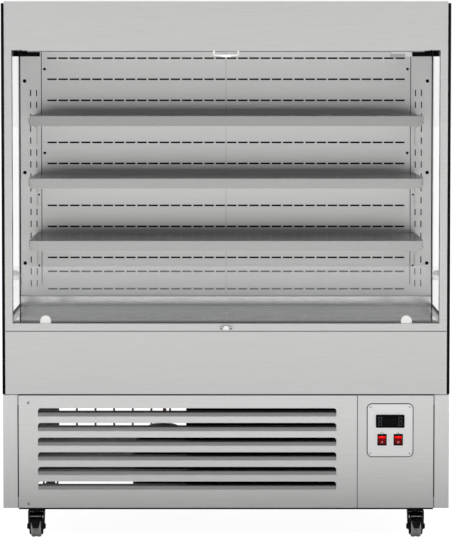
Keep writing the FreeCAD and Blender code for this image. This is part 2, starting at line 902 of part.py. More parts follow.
def shelf(tier):
    top = shelf_level(tier)
    x = shelf_half_width
    deck = block(-x, x, shelf_front, shelf_rear, top - sheet, top)
    lip = block(-x, x, shelf_front, shelf_front + sheet, top - shelf_lip, top)
    fold = block(-x, x, shelf_front, shelf_front + shelf_lip_return,
                 top - shelf_lip, top - shelf_lip + sheet)
    return fused([deck, lip, fold])


def shelf_bracket(tier):
    top = shelf_level(tier) - sheet
    nose = shelf_front + bracket_nose
    x0 = slot_x - bracket_sheet / 2
    x1 = slot_x + bracket_sheet / 2
    stem = upright_face - bracket_stem
    points = [(nose, top), (upright_face, top), (upright_face, top - bracket_back),
              (stem, top - bracket_back), (stem, top - 2 * bracket_arm), (nose, top - bracket_arm)]
    web = side_profile(points, x0, x1)
    flange = block(x1 - bracket_flange, x1, nose, upright_face, top - bracket_sheet, top)
    first_row = slots_above_shelf + slots_between_shelves * tier
    hook_half = shelf_slot_height / 2 - hook_clearance
    hooks = []
    for row in (first_row, first_row + 2):
        z = first_slot - shelf_slot_pitch * row
        hooks.append(block(x0, x1, upright_face, upright_face + hook_length, z - hook_half, z + hook_half))
    return fused([web, flange] + hooks)


def shelf_brackets():
    return Part.makeCompound([solid for tier in range(len(shelf_names))
                              for solid in both_sides(shelf_bracket(tier)).Solids])


# Front glass
def front_glass():
    x = post_inner - front_glass_side_gap
    bottom = ledge_top + clip_floor
    return block(-x, x, front_glass_setback, front_glass_setback + front_glass_thickness,
                 bottom, bottom + front_glass_height)


def glass_clip():
    d0 = front_glass_setback - clip_wall
    d1 = front_glass_setback + front_glass_thickness + clip_wall
    radius = clip_width / 2
    round_top = rod_y(radius, d0, d1, clip_x, ledge_top + clip_height - radius)
    skirt = block(clip_x - radius, clip_x + radius, d0, d1, ledge_top, ledge_top + clip_height - radius)
    below = block(clip_x - clip_width, clip_x + clip_width, d0, d1, ledge_top - clip_width, ledge_top)
    slot = block(clip_x - clip_width, clip_x + clip_width, front_glass_setback,
                 front_glass_setback + front_glass_thickness,
                 ledge_top + clip_floor, ledge_top + 2 * clip_height)
    return fused([round_top, skirt]).cut(below).cut(slot)


def glass_tab():
    d0 = front_glass_setback + front_glass_thickness
    d1 = d0 + tab_thickness
    z = ledge_top + clip_floor + front_glass_height - tab_drop
    x = post_inner - tab_radius
    arm = block(x, post_inner, d0, d1, z - tab_radius, z + tab_radius)
    return fused([rod_y(tab_radius, d0, d1, x, z), arm])


def glass_clips():
    return Part.makeCompound(both_sides(glass_clip()).Solids + both_sides(glass_tab()).Solids)


# Casters
race_bottom = caster_height - caster_plate_sheet - race_height
fork_top = race_bottom - running_gap
fork_bottom = fork_top - fork_plate
caster_ds = (caster_inset, body_depth - caster_inset)
pedal_z = fork_bottom - pedal_pivot_drop


def caster_plate(x, d):
    size = caster_plate_size / 2
    underside = caster_height - caster_plate_sheet
    head_top = fork_bottom - running_gap
    return fused([block(x - size, x + size, d - size, d + size, underside, caster_height),
                  rod_z(race_radius, race_bottom, underside, x, d),
                  rod_z(kingpin_radius, head_top, race_bottom, x, d),
                  rod_z(kingpin_head_radius, head_top - kingpin_head, head_top, x, d)])


def caster_plates():
    return Part.makeCompound([caster_plate(x, d) for d in caster_ds for x in (-caster_x, caster_x)])


def caster_fork(x, d, braked):
    axle_d = d - wheel_trail
    outer = fork_inner + fork_leg_sheet
    crown = block(x - outer, x + outer, d - wheel_trail, d + fork_rear, fork_bottom, fork_top)
    crown = crown.cut(rod_z(kingpin_radius + pin_gap, fork_bottom - over, fork_top + over, x, d))
    points = [(d - fork_front, fork_top), (d + fork_rear, fork_top),
              (axle_d + fork_eye, wheel_radius), (axle_d - fork_eye, wheel_radius)]
    pieces = [crown]
    for x0 in (x - outer, x + fork_inner):
        leg = side_profile(points, x0, x0 + fork_leg_sheet)
        leg = leg.fuse(rod_x(fork_eye, x0, x0 + fork_leg_sheet, axle_d, wheel_radius))
        pieces.append(leg)
    fork = fused(pieces)
    fork = fork.cut(rod_x(axle_radius + pin_gap, x - outer - over, x + outer + over, axle_d, wheel_radius))
    if braked:
        fork = fork.cut(rod_x(pedal_pin_radius + pin_gap, x - outer - over, x + outer + over,
                              axle_d - pedal_pivot_forward, pedal_z))
    axle = fused([rod_x(axle_radius, x - outer, x + outer, axle_d, wheel_radius),
                  rod_x(axle_head_radius, x - outer - axle_head, x - outer, axle_d, wheel_radius),
                  rod_x(axle_head_radius, x + outer, x + outer + axle_head, axle_d, wheel_radius)])
    return Part.makeCompound(fork.Solids + axle.Solids)


def caster_wheel(x, d):
    half_width = wheel_width / 2
    hub_half = fork_inner - running_gap
    bore = axle_radius + pin_gap
    points = [(bore, -hub_half), (wheel_hub_radius, -hub_half), (wheel_hub_radius, -half_width),
              (wheel_radius - wheel_chamfer, -half_width), (wheel_radius, -half_width + wheel_chamfer),
              (wheel_radius, half_width - wheel_chamfer), (wheel_radius - wheel_chamfer, half_width),
              (wheel_hub_radius, half_width), (wheel_hub_radius, hub_half), (bore, hub_half)]
    centre = V(x, front + d - wheel_trail, wheel_radius)
    corners = [centre + V(along, 0, out) for out, along in points]
    return Part.Face(outline(corners)).revolve(centre, V(1, 0, 0), 360)


# The pedal is down: its pad holds the tread and its tongue hangs in front of the wheel.
def brake_pedal(x, d):
    axle_d = d - wheel_trail
    pivot = axle_d - pedal_pivot_forward
    skin = pedal_sheet / 2
    slope_d = pivot - pedal_slope_reach
    slope_z = pedal_z - pedal_slope_fall
    nose_d = pivot - pedal_nose_reach
    nose_z = pedal_z - pedal_nose_fall
    x0 = x - pedal_width / 2
    x1 = x + pedal_width / 2
    plate = side_profile([(pivot, pedal_z + skin), (slope_d, slope_z + skin), (nose_d - skin, nose_z + skin),
                          (nose_d - skin, nose_z - skin), (slope_d, slope_z - skin), (pivot, pedal_z - skin)],
                         x0, x1)
    pad_ds = (pivot - pedal_pad_front, pivot - pedal_pad_rear)
    fall = pedal_slope_fall / pedal_slope_reach
    pad_points = [(pad_d, pedal_z - (pivot - pad_d) * fall) for pad_d in pad_ds]
    for pad_d in reversed(pad_ds):
        tread = wheel_radius + math.sqrt(wheel_radius ** 2 - (axle_d - pad_d) ** 2)
        pad_points.append((pad_d, tread + pedal_pad_gap))
    pad = side_profile(pad_points, x0, x1)
    tip_z = pedal_z - pedal_tongue_fall
    tongue = front_profile([(x0, nose_z + skin), (x1, nose_z + skin), (x + pedal_tongue_width / 2, tip_z),
                            (x - pedal_tongue_width / 2, tip_z)], nose_d - skin, nose_d + skin)
    foot_corners = [edge for edge in tongue.Edges
                    if edge.BoundBox.ZMax < tip_z + over and abs(edge.tangentAt(edge.FirstParameter).y) > 0.5]
    tongue = tongue.makeFillet(pedal_tongue_corner, foot_corners)
    reach = fork_inner - running_gap
    pin_reach = fork_inner + fork_leg_sheet
    return fused([plate, pad, tongue, rod_x(pedal_barrel, x - reach, x + reach, pivot, pedal_z),
                  rod_x(pedal_pin_radius, x - pin_reach, x + pin_reach, pivot, pedal_z)])


# Condensing unit
def compressor():
    x = compressor_x
    d = compressor_d
    bottom = frame_floor + foot_height
    top = bottom + compressor_height
    shoulder = top - compressor_dome
    seam = bottom + compressor_height / 2
    centre = V(x, front + d, 0)
    ring = compressor_radius + compressor_seam
    points = [(0, bottom), (compressor_radius, bottom), (compressor_radius, seam), (ring, seam),
              (ring, seam + compressor_seam_height), (compressor_radius, seam + compressor_seam_height),
              (compressor_radius, shoulder), (compressor_brow, top - compressor_brow_drop),
              (compressor_cap, top - compressor_cap_drop), (0, top)]
    corners = [centre + V(out, 0, z) for out, z in points]
    shell = Part.Face(outline(corners)).revolve(centre, V(0, 0, 1), 360)
    tray = block(x - foot_spread_x - foot_radius, x + foot_spread_x + foot_radius,
                 d - foot_spread_d - foot_radius, d + foot_spread_d + foot_radius,
                 bottom, bottom + foot_plate)
    feet = [rod_z(foot_radius, frame_floor, bottom, x + i * foot_spread_x, d + k * foot_spread_d)
            for i in (-1, 1) for k in (-1, 1)]
    stubs = [rod_x(stub_radius, x, x + compressor_radius + stub_length, d, stub_z),
             rod_y(stub_radius, d, d + compressor_radius + stub_length, x, stub_z)]
    return fused([shell, tray] + feet + stubs)


def finned_block(x0, x1, d0, d1, z0, z1):
    core = block(x0, x1, d0, d1, z0, z1)
    pitch = (x1 - x0) / (fin_count + 1)
    groove = fin_groove_depth / 2
    cuts = [block(x - fin_groove / 2, x + fin_groove / 2, d0 - over, d0 + groove, z0 + groove, z1 - groove)
            for x in [x0 + pitch * (i + 1) for i in range(fin_count)]]
    return core.cut(Part.makeCompound(cuts))


def condenser_coil():
    return finned_block(condenser_x, condenser_x + condenser_width, condenser_d, shroud_front,
                        frame_floor, frame_floor + condenser_height)


def condenser_fan_shroud():
    x0 = condenser_x
    x1 = condenser_x + condenser_width
    z1 = frame_floor + condenser_height
    box = block(x0, x1, shroud_front, shroud_rear, frame_floor, z1)
    inside = block(x0 + shroud_wall, x1 - shroud_wall, shroud_front - over, shroud_rear - shroud_wall,
                   frame_floor + shroud_wall, z1 - shroud_wall)
    hole_radius = condenser_fan_radius + fan_tip_gap
    hole = rod_y(hole_radius, shroud_front, shroud_rear + over, condenser_fan_x, condenser_fan_z)
    pieces = [box.cut(inside).cut(hole)]
    reach = hole_radius + motor_bar
    for z in (condenser_fan_z - motor_bar_gap, condenser_fan_z + motor_bar_gap):
        pieces.append(block(condenser_fan_x - reach, condenser_fan_x + reach, shroud_rear,
                            shroud_rear + motor_bar_sheet, z - motor_bar / 2, z + motor_bar / 2))
    motor_front = shroud_rear + motor_bar_sheet
    pieces.append(rod_y(condenser_motor_radius, motor_front, motor_front + condenser_motor_length,
                        condenser_fan_x, condenser_fan_z))
    pieces.append(rod_y(shaft_radius, fan_rear - condenser_hub_length, motor_front,
                        condenser_fan_x, condenser_fan_z))
    return fused(pieces)


fan_rear = shroud_rear - shroud_wall
stub_z = frame_floor + foot_height + compressor_height / 2 + 2 * stub_radius + compressor_seam_height


def condenser_fan():
    return axial_fan(condenser_fan_x, condenser_fan_z, fan_rear - condenser_hub_length, fan_rear,
                     condenser_hub_radius, condenser_fan_radius)


def pipework():
    middle = condenser_d + condenser_depth / 2
    stub_end = compressor_radius + stub_length
    right = condenser_x + condenser_width
    corner_x = right + 2 * pipe_bend
    discharge = bent_tube(pipe_radius, [(compressor_x + stub_end, compressor_d, stub_z),
                                        (corner_x, compressor_d, stub_z), (corner_x, middle, stub_z),
                                        (right, middle, stub_z)], pipe_bend)
    far_d = compressor_d + stub_end + 3 * pipe_bend
    suction = bent_tube(pipe_radius, [(compressor_x, compressor_d + stub_end, stub_z),
                                      (compressor_x, far_d, stub_z),
                                      (compressor_x, far_d, tub_bottom)], pipe_bend)
    low = frame_floor + 2 * pipe_bend
    liquid = bent_tube(pipe_radius, [(right, middle, low), (corner_x, middle, low), (corner_x, far_d, low),
                                     (corner_x, far_d, tub_bottom)], pipe_bend)
    drier_d = (middle + far_d - drier_length) / 2
    drier = rod_y(drier_radius, drier_d, drier_d + drier_length, corner_x, low)
    return Part.makeCompound([discharge, suction, fused([liquid, drier])])


nodes = {
    "base_frame": base_frame(),
    "base_side_panels": base_side_panels(),
    "rear_guard": rear_guard(),
    "grille_panel": grille_panel(),
    "control_fascia": control_fascia(),
    "control_plate": control_plate(),
    "controller_body": controller_body(),
    "switch_bezels": Part.makeCompound([switch_bezel_at(x) for x in switch_xs]),
    "screws": screws(),
    "bottom_tub": bottom_tub(),
    "front_panel": front_panel(),
    "front_ledge": front_ledge(),
    "deck_trays": both_sides(deck_tray()),
    "evaporator_coil": evaporator_coil(),
    "evaporator_fan_plate": evaporator_fan_plate(),
    "rear_shell": rear_shell(),
    "back_panel": both_sides(back_panel_half()),
    "slotted_uprights": both_sides(upright()),
    "side_glass": both_sides(side_pane()),
    "glass_trims": both_sides(glass_trim()),
    "front_posts": both_sides(front_post()),
    "canopy_fascia": canopy_fascia(),
    "roof_panel": roof_panel(),
    "led_lamp": led_lamp(),
    "blind_brackets": both_sides(blind_bracket()),
    "blind_catch": blind_catch(),
    "shelf_brackets": shelf_brackets(),
    "front_glass": front_glass(),
    "glass_clips": glass_clips(),
    "caster_plates": caster_plates(),
    "compressor": compressor(),
    "condenser_coil": condenser_coil(),
    "condenser_fan_shroud": condenser_fan_shroud(),
    "pipework": pipework(),
    "left_rocker": rocker(switch_xs[0]),
    "right_rocker": rocker(switch_xs[1]),
    "condenser_fan": condenser_fan(),
    "evaporator_fan_left": evaporator_fan(-fan_spread),
    "evaporator_fan_right": evaporator_fan(fan_spread),
    "blind_roller": blind_roller(),
    "blind_cloth": blind_cloth(),
    "blind_bar": blind_bar(),
    "blind_handle": blind_handle(),
}

for tier, name in enumerate(shelf_names):
    nodes[name] = shelf(tier)

for row, z in zip(("upper", "lower"), key_zs):
    for column, x in zip(("left", "right"), key_xs):
        nodes[row + "_" + column + "_key"] = controller_key(x, z)

for row, d in zip(("front", "rear"), caster_ds):
    for column, x in zip(("left", "right"), (-caster_x, caster_x)):
        braked = row == "front"
        nodes[row + "_" + column + "_fork"] = caster_fork(x, d, braked)
        nodes[row + "_" + column + "_wheel"] = caster_wheel(x, d)
        if braked:
            nodes[row + "_" + column + "_brake"] = brake_pedal(x, d)

os.makedirs("parts", exist_ok=True)
for name, shape in nodes.items():
    shape.exportStep("parts/" + name + ".step")
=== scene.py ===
import bpy
import bmesh
import json
import math
import numpy as np
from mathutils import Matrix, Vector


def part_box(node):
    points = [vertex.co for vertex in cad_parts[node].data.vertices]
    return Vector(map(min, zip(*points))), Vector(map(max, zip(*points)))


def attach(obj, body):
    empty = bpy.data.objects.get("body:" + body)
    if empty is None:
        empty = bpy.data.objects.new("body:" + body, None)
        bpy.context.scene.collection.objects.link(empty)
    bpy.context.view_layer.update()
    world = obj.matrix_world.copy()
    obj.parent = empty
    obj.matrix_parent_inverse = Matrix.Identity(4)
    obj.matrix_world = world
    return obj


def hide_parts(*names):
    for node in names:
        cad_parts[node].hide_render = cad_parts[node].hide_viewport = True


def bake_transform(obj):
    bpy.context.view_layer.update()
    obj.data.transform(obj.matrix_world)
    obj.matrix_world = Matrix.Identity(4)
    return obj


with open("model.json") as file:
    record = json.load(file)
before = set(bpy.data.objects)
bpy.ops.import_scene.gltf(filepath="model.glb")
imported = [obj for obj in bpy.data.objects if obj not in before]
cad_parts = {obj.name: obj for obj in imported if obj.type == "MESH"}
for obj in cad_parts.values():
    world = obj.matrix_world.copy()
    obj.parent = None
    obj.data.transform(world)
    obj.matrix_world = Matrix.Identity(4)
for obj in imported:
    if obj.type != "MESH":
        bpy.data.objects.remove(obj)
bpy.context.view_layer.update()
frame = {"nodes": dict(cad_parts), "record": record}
mm = 0.001
nodes = frame["nodes"]
castors = ("front_left", "front_right", "rear_left", "rear_right")
print("frame loaded with", len(nodes), "nodes")


def ends(node):
    # lowest and highest corner of a CAD node as arrays
    low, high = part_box(node)
    return np.array(low), np.array(high)


def middleOf(node):
    # middle of a CAD node's box
    low, high = ends(node)
    return (low + high) / 2


def frontOf(node):
    # middle of the box's front face
    middle = middleOf(node)
    middle[1] = ends(node)[0][1]
    return middle


frontY = ends("canopy_fascia")[0][1]  # front plane of the case
panelFace = ends("slotted_uprights")[1][1]  # front of the back panel
uprightStand = 1.5  # millimetres from there to the front of the uprights
uprightFace = panelFace - uprightStand * mm


def linear(hexColour):
    # sRGB hex to a linear colour
    channels = np.array([int(hexColour[i:i + 2], 16) for i in (1, 3, 5)]) / 255
    curve = np.where(channels <= 0.04045, channels / 12.92, ((channels + 0.055) / 1.055) ** 2.4)
    return [float(c) for c in curve] + [1.0]


def addNode(tree, kind, settings, links):
    # a setting goes to the input of that name or number, otherwise to the node itself
    node = tree.nodes.new("ShaderNode" + kind)
    for key, value in settings.items():
        if isinstance(key, int) or key in node.inputs:
            node.inputs[key].default_value = value
        else:
            setattr(node, key, value)
    for key, source in links.items():
        tree.links.new(source, node.inputs[key])
    return node


def wire(tree, steps):
    # steps are (label, kind, settings, links) in order; a link names an earlier label and its output;
    # a Mix node's two colours are its inputs 6 and 7 with output 2, its two values are inputs 2 and 3
    tree.nodes.clear()
    made = {}
    for label, kind, settings, links in steps:
        sources = {socket: made[source].outputs[output] for socket, (source, output) in links.items()}
        made[label] = addNode(tree, kind, settings, sources)


def finish(name, constants, steps, wires):
    # every finish starts from the piece's own coordinates and ends in one shader
    material = bpy.data.materials.new(name)
    material.use_nodes = True
    wire(material.node_tree, [
        ("place", "TexCoord", {}, {}), *steps, ("shader", "BsdfPrincipled", constants, wires),
        ("surface", "OutputMaterial", {}, {"Surface": ("shader", 0)})])
    return material


grainStyle = {"detail": 3.0, "roughness": 0.6, "spread": (0.3, 0.7), "bump": 0.3}


def grained(name, constants, grain):
    # one noise with cells of grain["cell"] millimetres drives colour, roughness and relief
    roughLow, roughHigh = grain["rough"]
    spreadLow, spreadHigh = grainStyle["spread"]
    steps = [
        ("cell", "Mapping", {"Scale": [1 / (mm * size) for size in grain["cell"]]},
         {"Vector": ("place", "Object")}),
        ("noise", "TexNoise", {"Scale": 1.0, "Detail": grain.get("detail", grainStyle["detail"]),
                               "Roughness": grainStyle["roughness"]}, {"Vector": ("cell", 0)}),
        ("spread", "MapRange", {"From Min": spreadLow, "From Max": spreadHigh},
         {"Value": ("noise", "Fac")}),
        ("tint", "Mix", {"data_type": "RGBA", 6: linear(grain["dark"]), 7: linear(grain["light"])},
         {0: ("spread", 0)}),
        ("rough", "MapRange", {"To Min": roughLow, "To Max": roughHigh}, {"Value": ("spread", 0)}),
        ("relief", "Bump", {"Strength": grainStyle["bump"], "Distance": grain["relief"] * mm},
         {"Height": ("noise", "Fac")}),
    ]
    return finish(name, constants, steps,
                  {"Base Color": ("tint", 2), "Roughness": ("rough", 0), "Normal": ("relief", 0)})


metal = {"Metallic": 1.0}
plastic = {"IOR": 1.5}
dullBlack = {"IOR": 1.5, "Specular IOR Level": 0.06}

# Stainless sheet, belt-brushed across: fine level lines and broad soft reflections
brushedSheet = grained("brushedStainless", metal, {
    "cell": (90, 90, 2.2), "dark": "#d7d7d6", "light": "#dfdfde", "rough": (0.42, 0.48), "relief": 0.006})
# The same sheet polished a little further, so that the louvre blades turn dark where they lean back
grilleSheet = grained("polishedStainless", metal, {
    "cell": (90, 90, 2.2), "dark": "#cbcbca", "light": "#d3d3d2", "rough": (0.29, 0.33), "relief": 0.005})
# The same sheet with its lines upright, on the two corner posts of the base, its colour lightened as
# painted light
litUprightSheet = grained("litUprightStainless", metal, {
    "cell": (2.2, 90, 90), "dark": "#efefee", "light": "#f5f5f4", "rough": (0.46, 0.52), "relief": 0.006})
# Bead-blasted plate: pale, even and nearly without reflections
satinPlate = grained("satinStainless", metal, {
    "cell": (1.4, 1.4, 1.4), "dark": "#f4f4f3", "light": "#f9f9f8", "rough": (0.40, 0.46), "relief": 0.006})
# Bright-annealed liner sheet: blurred mirror that takes its shade from the shelves around it
brightLiner = grained("brightAnnealedStainless", metal, {
    "cell": (140, 140, 3.0), "dark": "#d4d4d3", "light": "#dadad9", "rough": (0.31, 0.35), "relief": 0.004})
# Shelf sheet: the liner's steel, darker as painted shade on the shelves, and a little sharper in what it
# mirrors
shadedShelfSheet = grained("shadedShelfStainless", metal, {
    "cell": (140, 140, 3.0), "dark": "#9a9a99", "light": "#a2a2a1", "rough": (0.20, 0.24), "relief": 0.004})
# Deck sheet under a thin clear film: it mirrors what stands round it, a little dulled
mirrorLiner = grained("filmedStainless", {"Metallic": 0.92}, {
    "cell": (140, 140, 3.0), "dark": "#c6c6c5", "light": "#cececd", "rough": (0.10, 0.14), "relief": 0.002})
# Skirt strip: polished, so that its slight lean throws back the bright end of the room
polishedStrip = grained("polishedStrip", metal, {
    "cell": (140, 140, 3.0), "dark": "#d6d6d5", "light": "#dadad9", "rough": (0.16, 0.18), "relief": 0.001})
# Extruded aluminium rail, satin anodised: faint lines along its length
anodised = grained("anodisedAluminium", metal, {
    "cell": (60, 1.2, 1.2), "dark": "#c6c7c8", "light": "#d4d5d6", "rough": (0.34, 0.42), "relief": 0.01})
# Bright zinc on small screws
brightZinc = grained("brightZinc", metal, {
    "cell": (2, 2, 2), "dark": "#a9a9aa", "light": "#c9c9ca", "rough": (0.22, 0.34), "relief": 0.01})
# Steel pressings passivated black: dark and glossy, pale only where a bend catches light
blackZinc = grained("blackZinc", metal, {
    "cell": (7, 7, 7), "detail": 4.0, "dark": "#161617", "light": "#303033", "rough": (0.20, 0.32),
    "relief": 0.02})
# Drawn copper tube: warm, with dull stains a centimetre or two long
drawnCopper = grained("drawnCopper", metal, {
    "cell": (18, 18, 18), "detail": 4.0, "dark": "#9c5a39", "light": "#cb865e", "rough": (0.24, 0.42),
    "relief": 0.02})
# Stoved enamel on the compressor and its fan cowl: black with a slight orange peel
blackEnamel = grained("blackEnamel", dullBlack, {
    "cell": (5, 5, 5), "dark": "#09090a", "light": "#131315", "rough": (0.26, 0.38), "relief": 0.05})
# Extruded rubber edge: black, faintly dull
blackRubber = grained("blackRubber", dullBlack, {
    "cell": (1.5, 1.5, 1.5), "dark": "#070708", "light": "#0f0f10", "rough": (0.42, 0.55), "relief": 0.02})
# Moulded nylon: white with a fine spark-eroded skin
whiteNylon = grained("whiteNylon", plastic, {
    "cell": (1.2, 1.2, 1.2), "dark": "#e6e6e4", "light": "#f0f0ee", "rough": (0.38, 0.48), "relief": 0.02})
# Opal polycarbonate: milky lens of the lamp
opalLens = grained("opalPolycarbonate", {"IOR": 1.58, "Subsurface Weight": 0.2}, {
    "cell": (3, 3, 3), "dark": "#eceded", "light": "#f5f6f6", "rough": (0.28, 0.34), "relief": 0.005})
# The same opal plastic with a painted glow: a faint emission, though the lamp is off
paintedGlow = {"IOR": 1.58, "Emission Color": (1, 1, 1, 1), "Emission Strength": 0.26}
paintedGlowOpal = grained("paintedGlowOpalPolycarbonate", paintedGlow, {
    "cell": (3, 3, 3), "dark": "#eceded", "light": "#f5f6f6", "rough": (0.28, 0.34), "relief": 0.005})
# Moulded ABS: black with a matt grain
blackAbs = grained("blackAbs", dullBlack, {
    "cell": (0.8, 0.8, 0.8), "dark": "#050506", "light": "#0c0c0d", "rough": (0.38, 0.48), "relief": 0.02})
# Smoked acrylic: black window over the digits, polished
smokedAcrylic = grained("smokedAcrylic", dullBlack, {
    "cell": (12, 12, 12), "dark": "#010102", "light": "#040506", "rough": (0.08, 0.14), "relief": 0.002})
# Clear silicone: pale see-through bumpers
clearSilicone = grained("clearSilicone", {"Alpha": 0.5, "IOR": 1.41}, {
    "cell": (6, 6, 6), "dark": "#f4f5f5", "light": "#fbfcfc", "rough": (0.25, 0.35), "relief": 0.01})
# Screen-printing inks, matt: grey on the plate, dim on the keys, pale on the rockers
greyInk = grained("greyInk", plastic, {
    "cell": (0.6, 0.6, 0.6), "dark": "#77797b", "light": "#8c8e90", "rough": (0.5, 0.6), "relief": 0.01})
dimInk = grained("dimInk", plastic, {
    "cell": (0.6, 0.6, 0.6), "dark": "#4a5155", "light": "#5e656a", "rough": (0.5, 0.6), "relief": 0.01})
paleInk = grained("paleInk", plastic, {
    "cell": (0.6, 0.6, 0.6), "dark": "#c58f90", "light": "#d9a9a9", "rough": (0.5, 0.6), "relief": 0.01})
# Thermoplastic rubber tread: light grey, dusty, with mould grain
greyTread = grained("greyTread", plastic, {
    "cell": (3, 3, 3), "dark": "#8e8e8d", "light": "#a6a6a4", "rough": (0.55, 0.7), "relief": 0.06})
# Polypropylene wheel centre: darker grey, smooth
greyCentre = grained("greyPolypropylene", plastic, {
    "cell": (2, 2, 2), "dark": "#4c4d4e", "light": "#5c5d5e", "rough": (0.38, 0.48), "relief": 0.02})
# Float glass: clear, with a thin veil of reflection
floatGlass = grained("floatGlass", {"Alpha": 0.08, "IOR": 1.5}, {
    "cell": (220, 220, 220), "detail": 2.0, "dark": "#eef3f1", "light": "#f6f9f8", "rough": (0.02, 0.05),
    "relief": 0.0})
print("grained finishes made")


spangle = {"flake": 9.0, "dark": "#84888a", "light": "#9da1a3", "rough": (0.4, 0.56)}


# Hot-dip galvanised steel: dull grey spangle, each flake with a shade and gloss of its own
def galvanisedSteel():
    roughLow, roughHigh = spangle["rough"]
    steps = [
        ("flake", "TexVoronoi", {"Scale": 1 / (spangle["flake"] * mm)}, {"Vector": ("place", "Object")}),
        ("parts", "SeparateColor", {}, {0: ("flake", "Color")}),
        ("tint", "Mix",
         {"data_type": "RGBA", 6: linear(spangle["dark"]), 7: linear(spangle["light"])}, {0: ("parts", 0)}),
        ("rough", "MapRange", {"To Min": roughLow, "To Max": roughHigh}, {"Value": ("parts", 1)}),
    ]
    return finish("galvanisedSteel", metal, steps, {"Base Color": ("tint", 2), "Roughness": ("rough", 0)})


def waveScale(spacing):
    # the wave pattern turns twenty radians per unit, so this scale puts its crests spacing mm apart
    return 2 * math.pi / (20 * spacing * mm)


finPack = {"spacing": 9.87, "relief": 1.0, "bump": 0.5, "roughness": 0.45}


# Aluminium fin stock: thin edges with painted shade in the gaps between them; the fins are 2.5 mm apart,
# and drawn about four times as coarse to show
def finStock(name, gapShade, edge):
    steps = [
        ("fins", "TexWave", {"Scale": waveScale(finPack["spacing"]), "bands_direction": "X"},
         {"Vector": ("place", "Object")}),
        ("tint", "Mix", {"data_type": "RGBA", 6: linear(gapShade), 7: linear(edge)}, {0: ("fins", "Fac")}),
        ("relief", "Bump", {"Strength": finPack["bump"], "Distance": finPack["relief"] * mm},
         {"Height": ("fins", "Fac")}),
    ]
    return finish(name, {"Metallic": 1.0, "Roughness": finPack["roughness"]}, steps,
                  {"Base Color": ("tint", 2), "Normal": ("relief", 0)})


blindYarn = {"spacing": 3.158, "dark": "#a9abad", "light": "#d8dadb", "rough": (0.5, 0.68), "relief": 0.2,
             "bump": 0.4, "sheen": 0.2}


# Coated glass yarn in plain weave, silver; yarns are 0.5 mm apart, drawn about six times as coarse to show
def blindWeave():
    waves = {"Scale": waveScale(blindYarn["spacing"])}
    roughLow, roughHigh = blindYarn["rough"]
    steps = [
        ("warp", "TexWave", {**waves, "bands_direction": "X"}, {"Vector": ("place", "Object")}),
        ("weft", "TexWave", {**waves, "bands_direction": "Z"}, {"Vector": ("place", "Object")}),
        ("weave", "Math", {"operation": "MULTIPLY"}, {0: ("warp", "Fac"), 1: ("weft", "Fac")}),
        ("tint", "Mix",
         {"data_type": "RGBA", 6: linear(blindYarn["dark"]), 7: linear(blindYarn["light"])},
         {0: ("weave", 0)}),
        ("rough", "MapRange", {"To Min": roughLow, "To Max": roughHigh}, {"Value": ("weave", 0)}),
        ("relief", "Bump", {"Strength": blindYarn["bump"], "Distance": blindYarn["relief"] * mm},
         {"Height": ("weave", 0)}),
    ]
    return finish("coatedGlassWeave", {"Sheen Weight": blindYarn["sheen"]}, steps,
                  {"Base Color": ("tint", 2), "Roughness": ("rough", 0), "Normal": ("relief", 0)})


# the two reds here are painted light and painted shade on the rocker, and its glow is a painted glow
rockerLens = {"paintedLightAbove": 4.0, "fade": 0.8, "paintedLight": "#f40206", "paintedShade": "#6c060b", "rim": "#060606",
              "rimSide": 1.5, "rimTop": 2.6, "glow": 0.5}


# Clear red polycarbonate in a black rim; its upper part is painted light, a brighter red with a painted
# glow, and the lower part painted shade, a darker red
def redPolycarbonate(node):
    r = rockerLens
    low, high = ends(node)
    middle = middleOf(node)
    paintedLightLine = middle[2] + r["paintedLightAbove"] * mm
    lensHalf = (high[0] - low[0]) / 2 - r["rimSide"] * mm
    lensTop = high[2] - r["rimTop"] * mm
    steps = [
        ("axes", "SeparateXYZ", {}, {0: ("place", "Object")}),
        ("paintedLight", "MapRange", {"From Min": paintedLightLine - r["fade"] * mm, "From Max": paintedLightLine},
         {"Value": ("axes", 2)}),
        ("off", "Math", {"operation": "SUBTRACT", 1: middle[0]}, {0: ("axes", 0)}),
        ("across", "Math", {"operation": "ABSOLUTE"}, {0: ("off", 0)}),
        ("beside", "Math", {"operation": "LESS_THAN", 1: lensHalf}, {0: ("across", 0)}),
        ("below", "Math", {"operation": "LESS_THAN", 1: lensTop}, {0: ("axes", 2)}),
        ("lens", "Math", {"operation": "MULTIPLY"}, {0: ("beside", 0), 1: ("below", 0)}),
        # painted light above the line, painted shade below it
        ("red", "Mix", {"data_type": "RGBA", 6: linear(r["paintedShade"]), 7: linear(r["paintedLight"])}, {0: ("paintedLight", 0)}),
        ("tint", "Mix", {"data_type": "RGBA", 6: linear(r["rim"])}, {0: ("lens", 0), 7: ("red", 2)}),
        # painted glow on the upper part
        ("glow", "Math", {"operation": "MULTIPLY", 1: r["glow"]}, {0: ("paintedLight", 0)}),
    ]
    constants = {"IOR": 1.58, "Specular IOR Level": 0.08, "Roughness": 0.2}
    return finish(node + "Polycarbonate", constants, steps,
                  {"Base Color": ("tint", 2), "Emission Color": ("tint", 2),
                   "Emission Strength": ("glow", 0)})


# lining is the near-black colour of the painted shade inside the duct
cheek = {"wall": 40.0, "rearWall": 60.0, "slack": 0.5, "belt": (90, 90, 2.2), "dark": "#cfcfce",
         "light": "#dbdbda", "lining": "#0a0a0b"}
